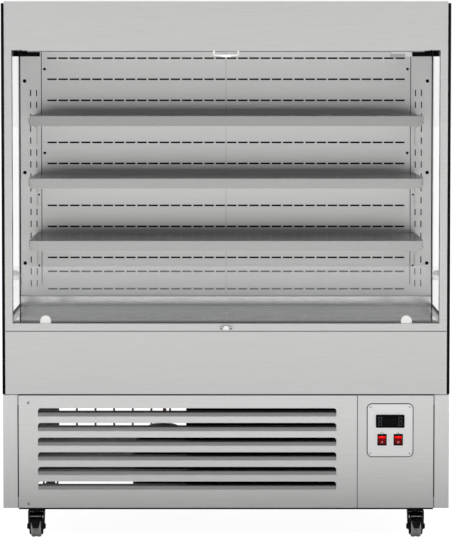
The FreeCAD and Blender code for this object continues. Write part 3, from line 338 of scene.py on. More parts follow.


# Insulated shell: brushed stainless skin outside; its faces inside the air duct get a painted shade, near
# black in place of the steel
def paintedShadeShell(node):
    high = ends(node)[1]
    innerX = high[0] - (cheek["wall"] - cheek["slack"]) * mm
    innerY = high[1] - (cheek["rearWall"] - cheek["slack"]) * mm
    steps = [
        ("belt", "Mapping", {"Scale": [1 / (mm * size) for size in cheek["belt"]]},
         {"Vector": ("place", "Object")}),
        ("lines", "TexNoise", {"Scale": 1.0, "Detail": grainStyle["detail"]}, {"Vector": ("belt", 0)}),
        ("steel", "Mix", {"data_type": "RGBA", 6: linear(cheek["dark"]), 7: linear(cheek["light"])},
         {0: ("lines", "Fac")}),
        ("axes", "SeparateXYZ", {}, {0: ("place", "Object")}),
        ("across", "Math", {"operation": "ABSOLUTE"}, {0: ("axes", 0)}),
        ("between", "Math", {"operation": "LESS_THAN", 1: innerX}, {0: ("across", 0)}),
        ("before", "Math", {"operation": "LESS_THAN", 1: innerY}, {0: ("axes", 1)}),
        ("paintedShadeMask", "Math", {"operation": "MULTIPLY"}, {0: ("between", 0), 1: ("before", 0)}),
        ("outside", "Math", {"operation": "SUBTRACT", 0: 1.0}, {1: ("paintedShadeMask", 0)}),
        # painted shade: near black inside the duct, brushed steel elsewhere
        ("tint", "Mix", {"data_type": "RGBA", 7: linear(cheek["lining"])},
         {0: ("paintedShadeMask", 0), 6: ("steel", 2)}),
    ]
    return finish("paintedShadeShell", {"Roughness": 0.5, "Specular IOR Level": 0.0}, steps,
                  {"Base Color": ("tint", 2), "Metallic": ("outside", 0)})


# Finish of each slot of the record, then of the nodes that differ from their slot
finishes = {
    "stainless": brushedSheet, "control_plate_steel": satinPlate, "liner_stainless": brightLiner,
    "insulated_body": brushedSheet, "galvanised": galvanisedSteel(), "glass": floatGlass,
    "fins": finStock("finStock", "#3a3c3e", "#c3c6c8"), "black_edge": blackRubber, "tyre": greyTread,
    "white_plastic": whiteNylon, "black_plastic": blackAbs, "zinc": blackZinc, "brake_steel": blackZinc,
    "compressor_black": blackEnamel, "copper": drawnCopper, "blind_aluminium": anodised,
    "blind_fabric": blindWeave(),
}
ownFinishes = {
    "base_side_panels": litUprightSheet, "grille_panel": grilleSheet, "control_fascia": grilleSheet,
    "deck_trays": mirrorLiner, "rear_shell": paintedShadeShell("rear_shell"),
    # the condenser's near-black fins are painted shade for the unlit inside of the base
    "condenser_coil": finStock("paintedShadeFinStock", "#050506", "#141416"), "condenser_fan_shroud": blackEnamel,
    "blind_catch": brushedSheet,
    "shelf_top": shadedShelfSheet, "shelf_middle": shadedShelfSheet, "shelf_bottom": shadedShelfSheet,
    "left_rocker": redPolycarbonate("left_rocker"), "right_rocker": redPolycarbonate("right_rocker"),
}
for part in frame["record"]["subparts"]:
    node = part["node"]
    mesh = nodes[node].data
    mesh.materials.clear()
    mesh.materials.append(ownFinishes[node] if node in ownFinishes else finishes[part["material_slot"]])
print("finishes put on the CAD nodes")


def cells(rows, columns, ringRows, ringColumns):
    # corner numbers of each cell of a grid, whose last row or column may meet the first
    row, column = np.meshgrid(np.arange(rows - 1 + ringRows), np.arange(columns - 1 + ringColumns),
                              indexing="ij")
    below, beside = (row + 1) % rows, (column + 1) % columns
    upper, lower = row * columns, below * columns
    return np.stack([upper + column, upper + beside, lower + beside, lower + column], -1).reshape(-1, 4)


meshing = {"weld": 0.001, "sliver": 0.0001, "sharpAngle": 40.0}


def addPiece(name, grids, material, body, stands=()):
    # each grid is (points, ringRows, ringColumns); together they are one mesh with its faces outward
    points = np.concatenate([grid.reshape(-1, 3) for grid, ringRows, ringColumns in grids])
    starts = np.cumsum([0] + [grid.shape[0] * grid.shape[1] for grid, ringRows, ringColumns in grids])
    quads = np.concatenate([cells(grid.shape[0], grid.shape[1], ringRows, ringColumns) + start
                            for (grid, ringRows, ringColumns), start in zip(grids, starts)])
    mesh = bpy.data.meshes.new(name)
    mesh.from_pydata(points.tolist(), [], quads.tolist())
    work = bmesh.new()
    work.from_mesh(mesh)
    bmesh.ops.remove_doubles(work, verts=work.verts, dist=meshing["weld"] * mm)
    bmesh.ops.dissolve_degenerate(work, edges=work.edges, dist=meshing["sliver"] * mm)
    bmesh.ops.recalc_face_normals(work, faces=work.faces)
    work.to_mesh(mesh)
    work.free()
    mesh.shade_smooth()
    mesh.set_sharp_from_angle(angle=math.radians(meshing["sharpAngle"]))
    mesh.materials.append(material)
    piece = bpy.data.objects.new(name, mesh)
    bpy.context.scene.collection.objects.link(piece)
    if stands:
        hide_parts(*stands)
    if body:
        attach(piece, body)
    return piece


right, inward, up = np.eye(3)
frontFace = (right, up, -inward)


def onFace(origin, u, v, h, face=frontFace):
    # point = origin + u to the right + v up the face + h out of it, all in millimetres
    u, v, h = np.broadcast_arrays(u, v, h)
    offset = u[..., None] * face[0] + v[..., None] * face[1] + h[..., None] * face[2]
    return np.asarray(origin) + mm * offset


def fullTurn(turns):
    # angles evenly spaced round a circle
    return np.linspace(0, 2 * np.pi, turns, endpoint=False)


rounding = {"fine": 10, "plain": 5, "coarse": 4}  # points on each rounded corner


def roundedSquare(halfWidth, halfHeight, corner, steps=rounding["fine"]):
    # four quarter circles of radius corner about the corner centres, joined into one outline
    angle = np.linspace(0, np.pi / 2, steps)
    quarter = np.arange(4)[:, None] * np.pi / 2 + angle
    signX, signZ = np.array([1, -1, -1, 1])[:, None], np.array([1, 1, -1, -1])[:, None]
    u = signX * (halfWidth - corner) + corner * np.cos(quarter)
    v = signZ * (halfHeight - corner) + corner * np.sin(quarter)
    return u.ravel(), v.ravel()


def ring(radius, turns=32):
    # a circle as an outline
    angle = fullTurn(turns)
    return radius * np.cos(angle), radius * np.sin(angle)


def rim(origin, outline, width, height, face=frontFace, steps=7):
    # a half-round bead, width across and height proud, carried round an outline along its own normal
    u, v = outline
    du, dv = np.roll(u, -1) - np.roll(u, 1), np.roll(v, -1) - np.roll(v, 1)
    length = np.hypot(du, dv)
    angle = np.linspace(0, np.pi, steps)
    side, proud = width / 2 * np.cos(angle), height * np.sin(angle)
    points = onFace(origin, u[:, None] + side * (dv / length)[:, None],
                    v[:, None] - side * (du / length)[:, None], proud[None, :], face)
    return points, 1, 1


def cap(origin, halfWidth, halfHeight, height, turns=32, face=frontFace, steps=8):
    # a low dome: height times the root of 1 - t squared over an ellipse, t from middle to rim
    t, angle = np.meshgrid(np.sin(np.linspace(0, np.pi / 2, steps)), fullTurn(turns), indexing="ij")
    points = onFace(origin, halfWidth * t * np.cos(angle), halfHeight * t * np.sin(angle),
                    height * np.sqrt(np.maximum(0, 1 - t ** 2)), face)
    return points, 0, 1


def pillow(origin, halfWidth, halfHeight, height, steps=25):
    # a crowned window: height times the fourth root of (1 - u^8)(1 - v^8) over a rectangle
    side = np.sin(np.linspace(-np.pi / 2, np.pi / 2, steps))
    u, v = np.meshgrid(side, side, indexing="ij")
    crown = ((1 - u ** 8) * (1 - v ** 8)) ** 0.25
    return onFace(origin, halfWidth * u, halfHeight * v, height * crown), 0, 0


crossRecess = {"halfWidth": 0.13, "reach": 0.62, "depth": 0.66}  # shares of the head's radius and height


def crossHead(origin, radius, height, steps=15, turns=48):
    # a domed head, the root of 1 - t to the fourth, with two bars across its middle sunk into it
    t, angle = np.meshgrid(np.linspace(0, 1, steps), fullTurn(turns), indexing="ij")
    u, v = t * np.cos(angle), t * np.sin(angle)
    thin, long = np.minimum(abs(u), abs(v)), np.maximum(abs(u), abs(v))
    sunk = (thin < crossRecess["halfWidth"]) & (long < crossRecess["reach"])
    dome = np.sqrt(np.maximum(0, 1 - t ** 4)) - crossRecess["depth"] * sunk
    return onFace(origin, radius * u, radius * v, height * dome), 0, 1


def turned(centre, radius, along, turns=64, ribs=0.0, axis=right, spokes=5, sharpness=4):
    # a profile (radius, along) carried round an axis; ribs, a height for each point, lifts the spokes
    angle = fullTurn(turns)
    lift = np.asarray(ribs)[..., None] * np.maximum(0, np.cos(spokes * angle)) ** sharpness
    reach = np.asarray(along)[:, None] + lift * np.sign(np.asarray(along))[:, None] + 0 * angle
    out = np.asarray(radius)[:, None] * np.stack([np.cos(angle), np.sin(angle)])[:, None, :]
    first, second = [side for side in (right, inward, up) if side is not axis]
    spread = reach[..., None] * axis + out[0][..., None] * first + out[1][..., None] * second
    return np.asarray(centre) + mm * spread


def slab(origin, outline, thickness, arris, face=frontFace):
    # a plate over a convex outline: it draws in by the arris at its two faces and closes on its middle
    u, v = outline
    middle = (u.max() + u.min()) / 2, (v.max() + v.min()) / 2
    half = (u.max() - u.min()) / 2, (v.max() - v.min()) / 2
    level = np.array([0, 0, arris, thickness - arris, thickness, thickness])[:, None]
    inset = np.array([np.inf, arris, 0, 0, arris, np.inf])[:, None]
    shrinkU, shrinkV = np.maximum(0, 1 - inset / half[0]), np.maximum(0, 1 - inset / half[1])
    points = onFace(origin, middle[0] + shrinkU * (u - middle[0]), middle[1] + shrinkV * (v - middle[1]),
                    level, face)
    return points, 0, 1


def drawn(start, end, profile):
    # a profile of offsets carried straight from start to end, drawn to a point at both ends to close it
    stations = np.array([start, start, end, end])
    size = np.array([0, 1, 1, 0])
    middle = profile.mean(0)
    points = stations[:, None, :] + mm * (middle + size[:, None, None] * (profile - middle))
    return points, 0, 1


def strip(x0, x1, z0, z1, y, thickness, cornerShare=0.2, arris=0.2):
    # an upright band between two corners, its front at y, its own corners rounded by a share of its width
    corner = min(x1 - x0, z1 - z0) * cornerShare / mm
    outline = roundedSquare((x1 - x0) / 2 / mm, (z1 - z0) / 2 / mm, corner, rounding["coarse"])
    return slab(((x0 + x1) / 2, y, (z0 + z1) / 2), outline, thickness, arris, (right, up, inward))


def rod(radius, turns, lengthwise):
    # a round section as offsets, to be carried along the named axis
    across, rise = ring(radius, turns)
    return np.stack([across, 0 * across, rise] if lengthwise is inward else [0 * across, across, rise], -1)


# Screws: domed heads with a cross recess in the grille, the back panel and the control plate
screwHeads = {"radius": 4.0, "height": 1.6, "grilleInset": 25.8, "grilleTop": 20.0, "grilleBottom": 10.0,
              "panelInset": 16.0, "panelDrops": (83.0, 322.0), "plateInset": 8.0, "plateRadius": 2.2,
              "plateHeight": 0.8}


def fitScrews():
    s = screwHeads
    grilleLow, grilleHigh = ends("grille_panel")
    panelLow, panelHigh = ends("back_panel")
    plateLow, plateHigh = ends("control_plate")
    x = grilleLow[0] + s["grilleInset"] * mm
    heads = [crossHead((x, grilleLow[1], z), s["radius"], s["height"])
             for z in (grilleHigh[2] - s["grilleTop"] * mm, grilleLow[2] + s["grilleBottom"] * mm)]
    panelHeads = [crossHead((x, panelFace, panelHigh[2] - drop * mm), s["radius"], s["height"])
                  for x in (panelLow[0] + s["panelInset"] * mm, panelHigh[0] - s["panelInset"] * mm)
                  for drop in s["panelDrops"]]
    inset = s["plateInset"] * mm
    heads += [crossHead((x, plateLow[1], z), s["plateRadius"], s["plateHeight"])
              for x in (plateLow[0] + inset, plateHigh[0] - inset)
              for z in (plateLow[2] + inset, plateHigh[2] - inset)]
    addPiece("screwHeads", heads, brightZinc, "cabinet", ["screws"])
    addPiece("panelScrewHeads", panelHeads, blackZinc, "cabinet")


# Hole plugs: black caps pressed into spare holes of the uprights, and small dots beside them;
# a row is radius, distance from the middle of the case and heights
holePlugs = {"height": 1.4, "rows": ((5.2, 574.0, (1228.0, 967.0, 708.0)), (3.0, 534.0, (904.0, 701.0)))}


def fitPlugs():
    p = holePlugs
    caps = [cap((side * spread * mm, uprightFace, z * mm), radius, radius, p["height"])
            for side in (-1, 1) for radius, spread, heights in p["rows"] for z in heights]
    addPiece("holePlugs", caps, blackAbs, "cabinet")


# Control plate: rubber seal round its edge and two printed marks over the switches
plateTrim = {"sealWidth": 2.4, "sealHeight": 1.9, "corner": 12.0, "markRise": 62.5, "ringRadius": 3.4,
             "ringLine": 0.9, "dotRadius": 1.7, "rays": 8, "rayRing": 3.6, "rayRadius": 0.5, "rayTurns": 12,
             "ink": 0.12}


def trimPlate():
    p = plateTrim
    low, high = ends("control_plate")
    middle = middleOf("control_plate")
    middle[1] = high[1]
    half = (high - low) / 2 / mm + p["sealWidth"] / 2
    outline = roundedSquare(half[0], half[2], p["corner"] + p["sealWidth"] / 2)
    addPiece("plateSeal", [rim(middle, outline, p["sealWidth"], p["sealHeight"])], blackRubber, "cabinet")
    leftX, rightX = middleOf("left_rocker")[0], middleOf("right_rocker")[0]
    z = low[2] + p["markRise"] * mm
    marks = [rim((leftX, low[1], z), ring(p["ringRadius"]), p["ringLine"], p["ink"]),
             cap((rightX, low[1], z), p["dotRadius"], p["dotRadius"], p["ink"])]
    for u, v in zip(*ring(p["rayRing"], p["rays"])):
        marks.append(cap((rightX + u * mm, low[1], z + v * mm), p["rayRadius"], p["rayRadius"], p["ink"],
                         p["rayTurns"]))
    addPiece("switchMarks", marks, greyInk, "cabinet")


# Controller: smoked window over the display, printed frame on each key
controllerTrim = {"windowHalfWidth": 19.8, "windowHalfHeight": 10.8, "recess": 1.0, "crown": 0.9,
                  "keyFrame": 4.2, "keyCorner": 1.2, "line": 0.7, "ink": 0.1}


def trimController():
    c = controllerTrim
    middle = frontOf("controller_body") + c["recess"] * mm * inward
    addPiece("displayWindow", [pillow(middle, c["windowHalfWidth"], c["windowHalfHeight"], c["crown"])],
             smokedAcrylic, "cabinet")
    for node in ("upper_left_key", "upper_right_key", "lower_left_key", "lower_right_key"):
        outline = roundedSquare(c["keyFrame"], c["keyFrame"], c["keyCorner"])
        keyFrame = rim(frontOf(node), outline, c["line"], c["ink"])
        addPiece(node + "Frame", [keyFrame], dimInk, node)


# Rocker marks: a ring for off low on the paddle and a bar for on at its top, on its two slanting faces
rockerMarks = {"pivotDepth": 2.5, "horn": 8.0, "valley": 5.2, "half": 11.4, "tilt": 8.0, "ringRadius": 2.1,
               "ringLine": 0.8, "barHalf": 2.4, "barWide": 0.5, "lowShare": 0.62, "highShare": 0.72,
               "barTurns": 16, "ink": 0.12}


def markRockers():
    r = rockerMarks
    pivotY = ends("control_plate")[0][1] + r["pivotDepth"] * mm
    pivotZ = middleOf("switch_bezels")[2]
    tilt = math.radians(r["tilt"])
    spin = np.array([[math.cos(tilt), math.sin(tilt)], [-math.sin(tilt), math.cos(tilt)]])
    valley = spin @ np.array([-r["valley"], 0])
    for node in ("left_rocker", "right_rocker"):
        grids = []
        for sign, share in ((-1, r["lowShare"]), (1, r["highShare"])):
            horn = spin @ np.array([-r["horn"], sign * r["half"]])
            along = (horn - valley) * sign
            upward = np.array([0, *(along / np.linalg.norm(along))])
            face = (right, upward, np.array([0, -upward[2], upward[1]]))
            y, z = valley + share * (horn - valley)
            origin = (middleOf(node)[0], pivotY + y * mm, pivotZ + z * mm)
            if sign < 0:
                grids.append(rim(origin, ring(r["ringRadius"]), r["ringLine"], r["ink"], face))
            else:
                grids.append(cap(origin, r["barWide"], r["barHalf"], r["ink"], r["barTurns"], face))
        addPiece(node + "Marks", grids, paleInk, node)


# Castor wheels: grey tread with a mould line round its middle, ribbed plastic centre, black thread guards;
# the hub is listed as radius, place along the axle and height of its ribs, the guard as radius and place
castorWheel = {"treadRadius": 29.0, "innerRadius": 20.0, "halfWidth": 13.5, "squareness": 0.36,
               "lineDepth": 1.8, "lineWidth": 1.5, "treadSteps": 41, "hubTurns": 80,
               "hub": ((4.05, 18.2, 0), (9.2, 18.2, 0), (10, 17.4, 0), (10.4, 8.5, 0), (14.5, 8.0, 2.6),
                       (18.5, 8.5, 0), (20.4, 11, 0)),
               "guard": ((4.05, 17.9), (21.6, 17.9), (22.6, 17.2), (22.6, 15.0), (21.6, 14.4),
                         (4.05, 14.4))}


def fitWheel(node):
    w = castorWheel
    centre = middleOf(node)
    # tread: half of a squared-off ellipse, less a groove shaped as a bell curve, turned about the axle
    turn = np.linspace(0, np.pi, w["treadSteps"])
    along = w["halfWidth"] * np.sign(np.cos(turn)) * abs(np.cos(turn)) ** w["squareness"]
    radius = w["innerRadius"] + (w["treadRadius"] - w["innerRadius"]) * np.sin(turn) ** w["squareness"]
    radius = radius - w["lineDepth"] * np.exp(-(along / w["lineWidth"]) ** 2)
    addPiece(node + "Tread", [(turned(centre, radius, along), 1, 1)], greyTread, node, [node])
    hub = np.array(w["hub"])
    radius, along, ribs = np.concatenate([hub, hub[::-1] * [1, -1, 1]]).T
    centreGrid = turned(centre, radius, along, w["hubTurns"], ribs)
    addPiece(node + "Centre", [(centreGrid, 1, 1)], greyCentre, node)
    radius, along = np.array(w["guard"]).T
    guards = [(turned(centre, radius, side * along), 1, 1) for side in (-1, 1)]
    addPiece(node + "Guards", guards, blackAbs, node)


# Night blind: a strip of cloth from the roll down to the pull bar, and the cloth wound on its tube
nightBlind = {"tubeRadius": 19.0, "tubeArris": 0.5, "pinRadius": 4.0, "pinReach": 3.0, "tubeGap": 0.3,
              "turns": 6, "turnSteps": 60, "rollGap": 0.1, "rollGrowth": 2.6, "ripple": 0.12,
              "rippleLength": 140.0, "flatWidth": 1.05, "stepsAcross": 121, "stepsDown": 13,
              "tubeTurns": 48}


def hangBlind():
    b = nightBlind
    rollLow, rollHigh = ends("blind_roller")
    clothLow, clothHigh = ends("blind_cloth")
    axis = middleOf("blind_roller")
    cloth = finishes["blind_fabric"]
    # strip: a flat sheet with a faint ripple, a sine across it times half a sine from top to foot
    x, z = np.meshgrid(np.linspace(clothLow[0], clothHigh[0], b["stepsAcross"]),
                       np.linspace(clothLow[2], clothHigh[2], b["stepsDown"]), indexing="ij")
    share = (z - clothLow[2]) / (clothHigh[2] - clothLow[2])
    wave = b["ripple"] * mm * np.sin(2 * np.pi * x / (b["rippleLength"] * mm)) * np.sin(np.pi * share)
    sheet = np.stack([x, (clothLow[1] + clothHigh[1]) / 2 + wave, z], -1)
    hanging = addPiece("blindStrip", [(sheet, 0, 0)], cloth, None, ["blind_cloth"])
    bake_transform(hanging)
    # roll: a spiral whose radius grows evenly with the turn
    turn = np.linspace(0, 2 * np.pi * b["turns"], b["turnSteps"] * b["turns"])
    radius = b["tubeRadius"] + b["rollGap"] + b["rollGrowth"] * turn / turn[-1]
    y = axis[1] - mm * radius * np.cos(turn)
    z = axis[2] + mm * radius * np.sin(turn)
    sides = np.array([clothLow[0], clothHigh[0]])
    spiral = np.stack(np.broadcast_arrays(sides[None, :], y[:, None], z[:, None]), -1)
    roll = addPiece("blindRoll", [(spiral, 0, 0)], cloth, "blind_roller", ["blind_roller"])
    # tube: a stepped profile turned about the roll's axis, with a pin at each end
    reach = (rollHigh[0] - rollLow[0]) / 2 / mm
    tubeEnd = reach - b["pinReach"] - b["tubeGap"]
    radius = [0, b["pinRadius"], b["pinRadius"], b["tubeRadius"] - b["tubeArris"], b["tubeRadius"]]
    along = [reach, reach, tubeEnd, tubeEnd, tubeEnd - b["tubeArris"]]
    profile = np.array([radius, along]).T
    radius, along = np.concatenate([profile, profile[::-1] * [1, -1]]).T
    tube = turned(axis, radius, along, b["tubeTurns"])
    addPiece("blindTube", [(tube, 0, 1)], anodised, "blind_roller")


# Lamp: a milky lens under the housing, and a bent arm at its right end with a painted glow
lampLens = {"halfWidth": 6.0, "drop": 3.0, "endGap": 14.0, "armGap": 60.0, "front": 7.5, "height": 20.0,
            "turns": 24}
lampArm = {"left": 453.0, "right": 511.0, "barHigh": 1311.5, "barLow": 1306.0, "footLeft": 492.0,
           "footLow": 1298.5, "thickness": 2.0, "corner": 1.5, "arris": 0.4}


def fitLens():
    p = lampLens
    low, high = ends("led_lamp")
    reach = -low[0] - p["endGap"] * mm
    y, z = low[1] + p["front"] * mm, high[2] - p["height"] * mm
    # lens: half an ellipse that hangs under a flat top, carried along the lamp
    across, rise = ring(1.0, p["turns"])
    profile = np.stack([0 * across, p["halfWidth"] * across, -p["drop"] * np.maximum(0, rise)], -1)
    lens = drawn((-reach, y, z), (reach - p["armGap"] * mm, y, z), profile)
    addPiece("lampLens", [lens], opalLens, "cabinet")
    a = lampArm
    plates = []
    for left, bottom, top in ((a["left"], a["barLow"], a["barHigh"]),
                              (a["footLeft"], a["footLow"], a["barLow"])):
        outline = roundedSquare((a["right"] - left) / 2, (top - bottom) / 2, a["corner"], rounding["plain"])
        middle = ((a["right"] + left) / 2 * mm, low[1], (top + bottom) / 2 * mm)
        plates.append(slab(middle, outline, a["thickness"], a["arris"]))
    # the arm carries the painted glow
    addPiece("lampArm", plates, paintedGlowOpal, "cabinet")


# Side glass: a rubber bead along the foot of each pane
glassBead = {"radius": 2.6, "turns": 20, "rise": 3.0, "front": 32.0, "rear": 465.0}


def fitBeads():
    g = glassBead
    x = ends("glass_trims")[1][0] - (sideUnits["depth"] + g["radius"]) * mm
    front = ends("front_panel")[0][1]
    z = ends("deck_trays")[1][2] + g["rise"] * mm
    section = rod(g["radius"], g["turns"], inward)
    beads = [drawn((side * x, front + g["front"] * mm, z), (side * x, front + g["rear"] * mm, z), section)
             for side in (-1, 1)]
    addPiece("glassBeads", beads, blackRubber, "cabinet")


# Side glazing: black-edged glass units that run back past the uprights, over the cheeks of the rear shell
sideUnits = {"rear": 600.0, "frontBorder": 30.0, "rearBorder": 10.0, "low": 575.0, "high": 1298.0,
             "depth": 8.0, "pane": 4.0, "paneInset": 1.0, "fit": 0.2, "arris": 0.6, "corner": 2.0}


def fitSideUnits():
    s = sideUnits
    trimLow, trimHigh = ends("glass_trims")
    front = trimLow[1]
    outerX, innerX = trimHigh[0], trimHigh[0] - s["depth"] * mm
    rear = front + s["rear"] * mm
    y0, y1 = front + s["frontBorder"] * mm, rear - s["rearBorder"] * mm
    z0, z1 = s["low"] * mm, s["high"] * mm
    outerBox, innerBox = [np.array([[a, c], [b, c], [b, d], [a, d]]) for a, b, c, d in
                          ((front, rear, trimLow[2], trimHigh[2]), (y0, y1, z0, z1))]
    frames, panes = [], []
    # frame: an outer and an inner rectangle on its two faces, joined into a ring; pane: a slab within it
    for side in (-1, 1):
        loops = [np.insert(box, 0, side * x, axis=1) for box, x in
                 ((outerBox, innerX), (outerBox, outerX), (innerBox, outerX), (innerBox, innerX))]
        frames.append((np.stack(loops, 1), 1, 1))
        face = (inward, up, side * right)
        middle = (side * (outerX - (s["pane"] + s["paneInset"]) * mm), (y0 + y1) / 2, (z0 + z1) / 2)
        outline = roundedSquare((y1 - y0) / 2 / mm - s["fit"], (z1 - z0) / 2 / mm - s["fit"], s["corner"],
                                rounding["coarse"])
        panes.append(slab(middle, outline, s["pane"], s["arris"], face))
    addPiece("sideUnits", frames, blackRubber, "cabinet", ["glass_trims"])
    addPiece("sidePanes", panes, floatGlass, "cabinet", ["side_glass"])
    # shell: its outer line and its inner line in plan, from the left end to the right, each at two heights
    shellLow, shellHigh = ends("rear_shell")
    liningX, liningY = outerX - cheek["wall"] * mm, shellHigh[1] - cheek["rearWall"] * mm
    outline = [(innerX, shellLow[1]), (innerX, rear), (outerX, rear), (outerX, shellHigh[1])]
    lining = [(liningX, shellLow[1]), (liningX, rear), (liningX, rear), (liningX, liningY)]
    outline = np.array(outline + [(-x, y) for x, y in outline[::-1]])
    lining = np.array(lining + [(-x, y) for x, y in lining[::-1]])
    edges = [np.insert(path, 2, z, axis=1) for path, z in ((outline, shellLow[2]), (outline, shellHigh[2]),
                                                           (lining, shellHigh[2]), (lining, shellLow[2]))]
    wall = np.stack(edges, 1)
    closed = np.concatenate([wall[:1].mean(1, keepdims=True) + 0 * wall[:1], wall,
                             wall[-1:].mean(1, keepdims=True) + 0 * wall[-1:]])
    addPiece("rearShell", [(closed, 0, 1)], ownFinishes["rear_shell"], "cabinet",
             ["rear_shell"])


# Base shade strips: black strips as painted shade behind the upright joints, in the shadow gap under the
# front panel and under the base's edge
baseShadeStrips = {"shadeStrip": 8.0, "shadeStripDepth": 11.8, "shadeStripThick": 3.0, "sideGap": 1.6, "overlap": 2.0, "clear": 0.1,
             "topDepth": 1.0, "topThick": 11.0, "lowEdge": 3.4, "lowDepth": 0.4, "lowThick": 3.0}
# Joint shade strips: black strips as painted shadow lines in the joints of the panels and beside the
# uprights, and a black plate inside each front post
jointShadeStrips = {"joint": 1.8, "thick": 1.0, "panelProud": 0.4, "fasciaProud": 0.2, "panelLap": 6.0,
              "upright": {"width": 1.8, "proud": 0.3, "thick": 1.6},
              "edge": {"width": 4.2, "proud": 0.6, "thick": 0.5},
              "footGap": 60.0, "topGap": 1.0, "postWidth": 20.0, "gasket": 0.8, "gasketMiddle": 15.0,
              "gasketHalf": 14.0, "gasketGap": 2.0, "gasketCorner": 0.3, "gasketArris": 0.1}
glassFoot = {"radius": 0.9, "turns": 16}  # a thin bead behind the foot of the front glass


def fitDarkStrips():
    # painted shade: black strips in the gaps of the base
    b = baseShadeStrips
    grilleLow, grilleHigh = ends("grille_panel")
    fasciaLow, fasciaHigh = ends("control_fascia")
    baseLow, baseHigh = ends("base_side_panels")
    panelLow, panelHigh = ends("front_panel")
    ledgeLow, ledgeHigh = ends("front_ledge")
    postLow, postHigh = ends("front_posts")
    middleJoint = (grilleHigh[0] + fasciaLow[0]) / 2
    half = b["shadeStrip"] / 2 * mm
    edge = half - (b["sideGap"] + b["overlap"]) * mm
    clear = b["clear"] * mm
    bands = [strip(x - half, x + half, grilleLow[2], grilleHigh[2], panelLow[1] + b["shadeStripDepth"] * mm,
                   b["shadeStripThick"]) for x in (grilleLow[0] + edge, middleJoint, fasciaHigh[0] - edge)]
    bands.append(strip(grilleLow[0], fasciaHigh[0], baseHigh[2] + clear, panelLow[2] - clear,
                       panelLow[1] + b["topDepth"] * mm, b["topThick"]))
    bands.append(strip(grilleLow[0], fasciaHigh[0], baseLow[2] - b["lowEdge"] * mm, baseLow[2] - clear,
                       grilleLow[1] + b["lowDepth"] * mm, b["lowThick"]))
    addPiece("baseShadeStrips", bands, blackRubber, "cabinet")
    # painted shadow lines: black strips in the panel joints and beside the uprights
    j = jointShadeStrips
    z = (panelHigh[2] + ledgeLow[2]) / 2
    half = j["joint"] / 2 * mm
    bands = [strip(panelLow[0] + half, panelHigh[0] - half, z - half, z + half,
                   panelLow[1] - j["panelProud"] * mm, j["thick"]),
             strip(middleJoint - half, middleJoint + half, grilleLow[2], grilleHigh[2],
                   fasciaLow[1] - j["fasciaProud"] * mm, j["thick"])]
    backLow, backHigh = ends("back_panel")
    uprightHigh = ends("slotted_uprights")[1]
    foot, top = backLow[2] + j["footGap"] * mm, uprightHigh[2] - j["topGap"] * mm
    gripHalf = (postHigh[2] - ledgeHigh[2]) / 2 / mm - j["gasketGap"]
    grip = roundedSquare(j["gasketHalf"], gripHalf, j["gasketCorner"], rounding["coarse"])
    for side in (-1, 1):
        for line, reach in ((j["upright"], backHigh[0] - j["panelLap"] * mm), (j["edge"], uprightHigh[0])):
            half = line["width"] / 2 * mm
            x = side * (reach - half)
            y = uprightFace - line["proud"] * mm
            bands.append(strip(x - half, x + half, foot, top, y, line["thick"]))
        middle = (side * (ledgeHigh[0] - j["postWidth"] * mm), postLow[1] + j["gasketMiddle"] * mm,
                  (postHigh[2] + ledgeHigh[2]) / 2)
        bands.append(slab(middle, grip, j["gasket"], j["gasketArris"], (inward, up, -side * right)))
    addPiece("jointShadeStrips", bands, blackRubber, "cabinet")
    glassLow, glassHigh = ends("front_glass")
    section = rod(glassFoot["radius"], glassFoot["turns"], right)
    y, z = glassHigh[1] + glassFoot["radius"] * mm, ledgeHigh[2] + glassFoot["radius"] * mm
    bead = drawn((glassLow[0], y, z), (glassHigh[0], y, z), section)
    addPiece("glassFoot", [bead], blackRubber, "cabinet")


# Panel skirt: a strip that leans back a little, folded in at its top, along the foot of the back panel
panelSkirt = {"height": 29.5, "depth": 18.0, "lean": 1.1, "reach": 589.0, "sheet": 0.8, "bend": 1.6,
              "fold": 1.0, "clear": 0.3, "footRows": 4, "bendMargin": 0.02, "bendSteps": 6}


def fitSkirt():
    k = panelSkirt
    deck = ends("deck_trays")[1][2]
    # section: a leaning straight, a quarter circle and a flat fold, once for each face of the sheet
    angle = np.linspace(0, np.pi / 2, k["bendSteps"])
    foot = np.linspace(1, k["bendMargin"], k["footRows"])
    outline = []
    for inset in (0.0, k["sheet"]):
        y = np.concatenate([inset - k["depth"] - k["lean"] * foot,
                            k["bend"] - k["depth"] - (k["bend"] - inset) * np.cos(angle), [0]])
        z = np.concatenate([k["clear"] + (k["height"] - k["bend"] - k["clear"]) * (1 - foot),
                            k["height"] - k["bend"] + (k["bend"] - inset) * np.sin(angle),
                            [k["height"] + k["fold"] - inset]])
        outline.append(np.stack([0 * y, y, z], -1))
    profile = np.concatenate([outline[0], outline[1][::-1]])
    bar = drawn((-k["reach"] * mm, uprightFace, deck), (k["reach"] * mm, uprightFace, deck), profile)
    addPiece("panelSkirt", [bar], polishedStrip, "cabinet")


# Glass bumpers: clear discs on the top corners of the front glass
glassBumpers = {"radius": 12.0, "height": 2.5, "inset": 8.0, "drop": 25.0}


def fitBumpers():
    b = glassBumpers
    low, high = ends("front_glass")
    x, z = high[0] - b["inset"] * mm, high[2] - b["drop"] * mm
    discs = [cap((side * x, low[1], z), b["radius"], b["radius"], b["height"]) for side in (-1, 1)]
    addPiece("glassBumpers", discs, clearSilicone, "cabinet")


# Handle lugs: the moulded handle grips the front of the pull bar with two ears
handleLugs = {"spread": 32.5, "width": 4.8, "low": -3.0, "high": 4.6, "thickness": 3.4, "corner": 1.0,
              "arris": 0.5}


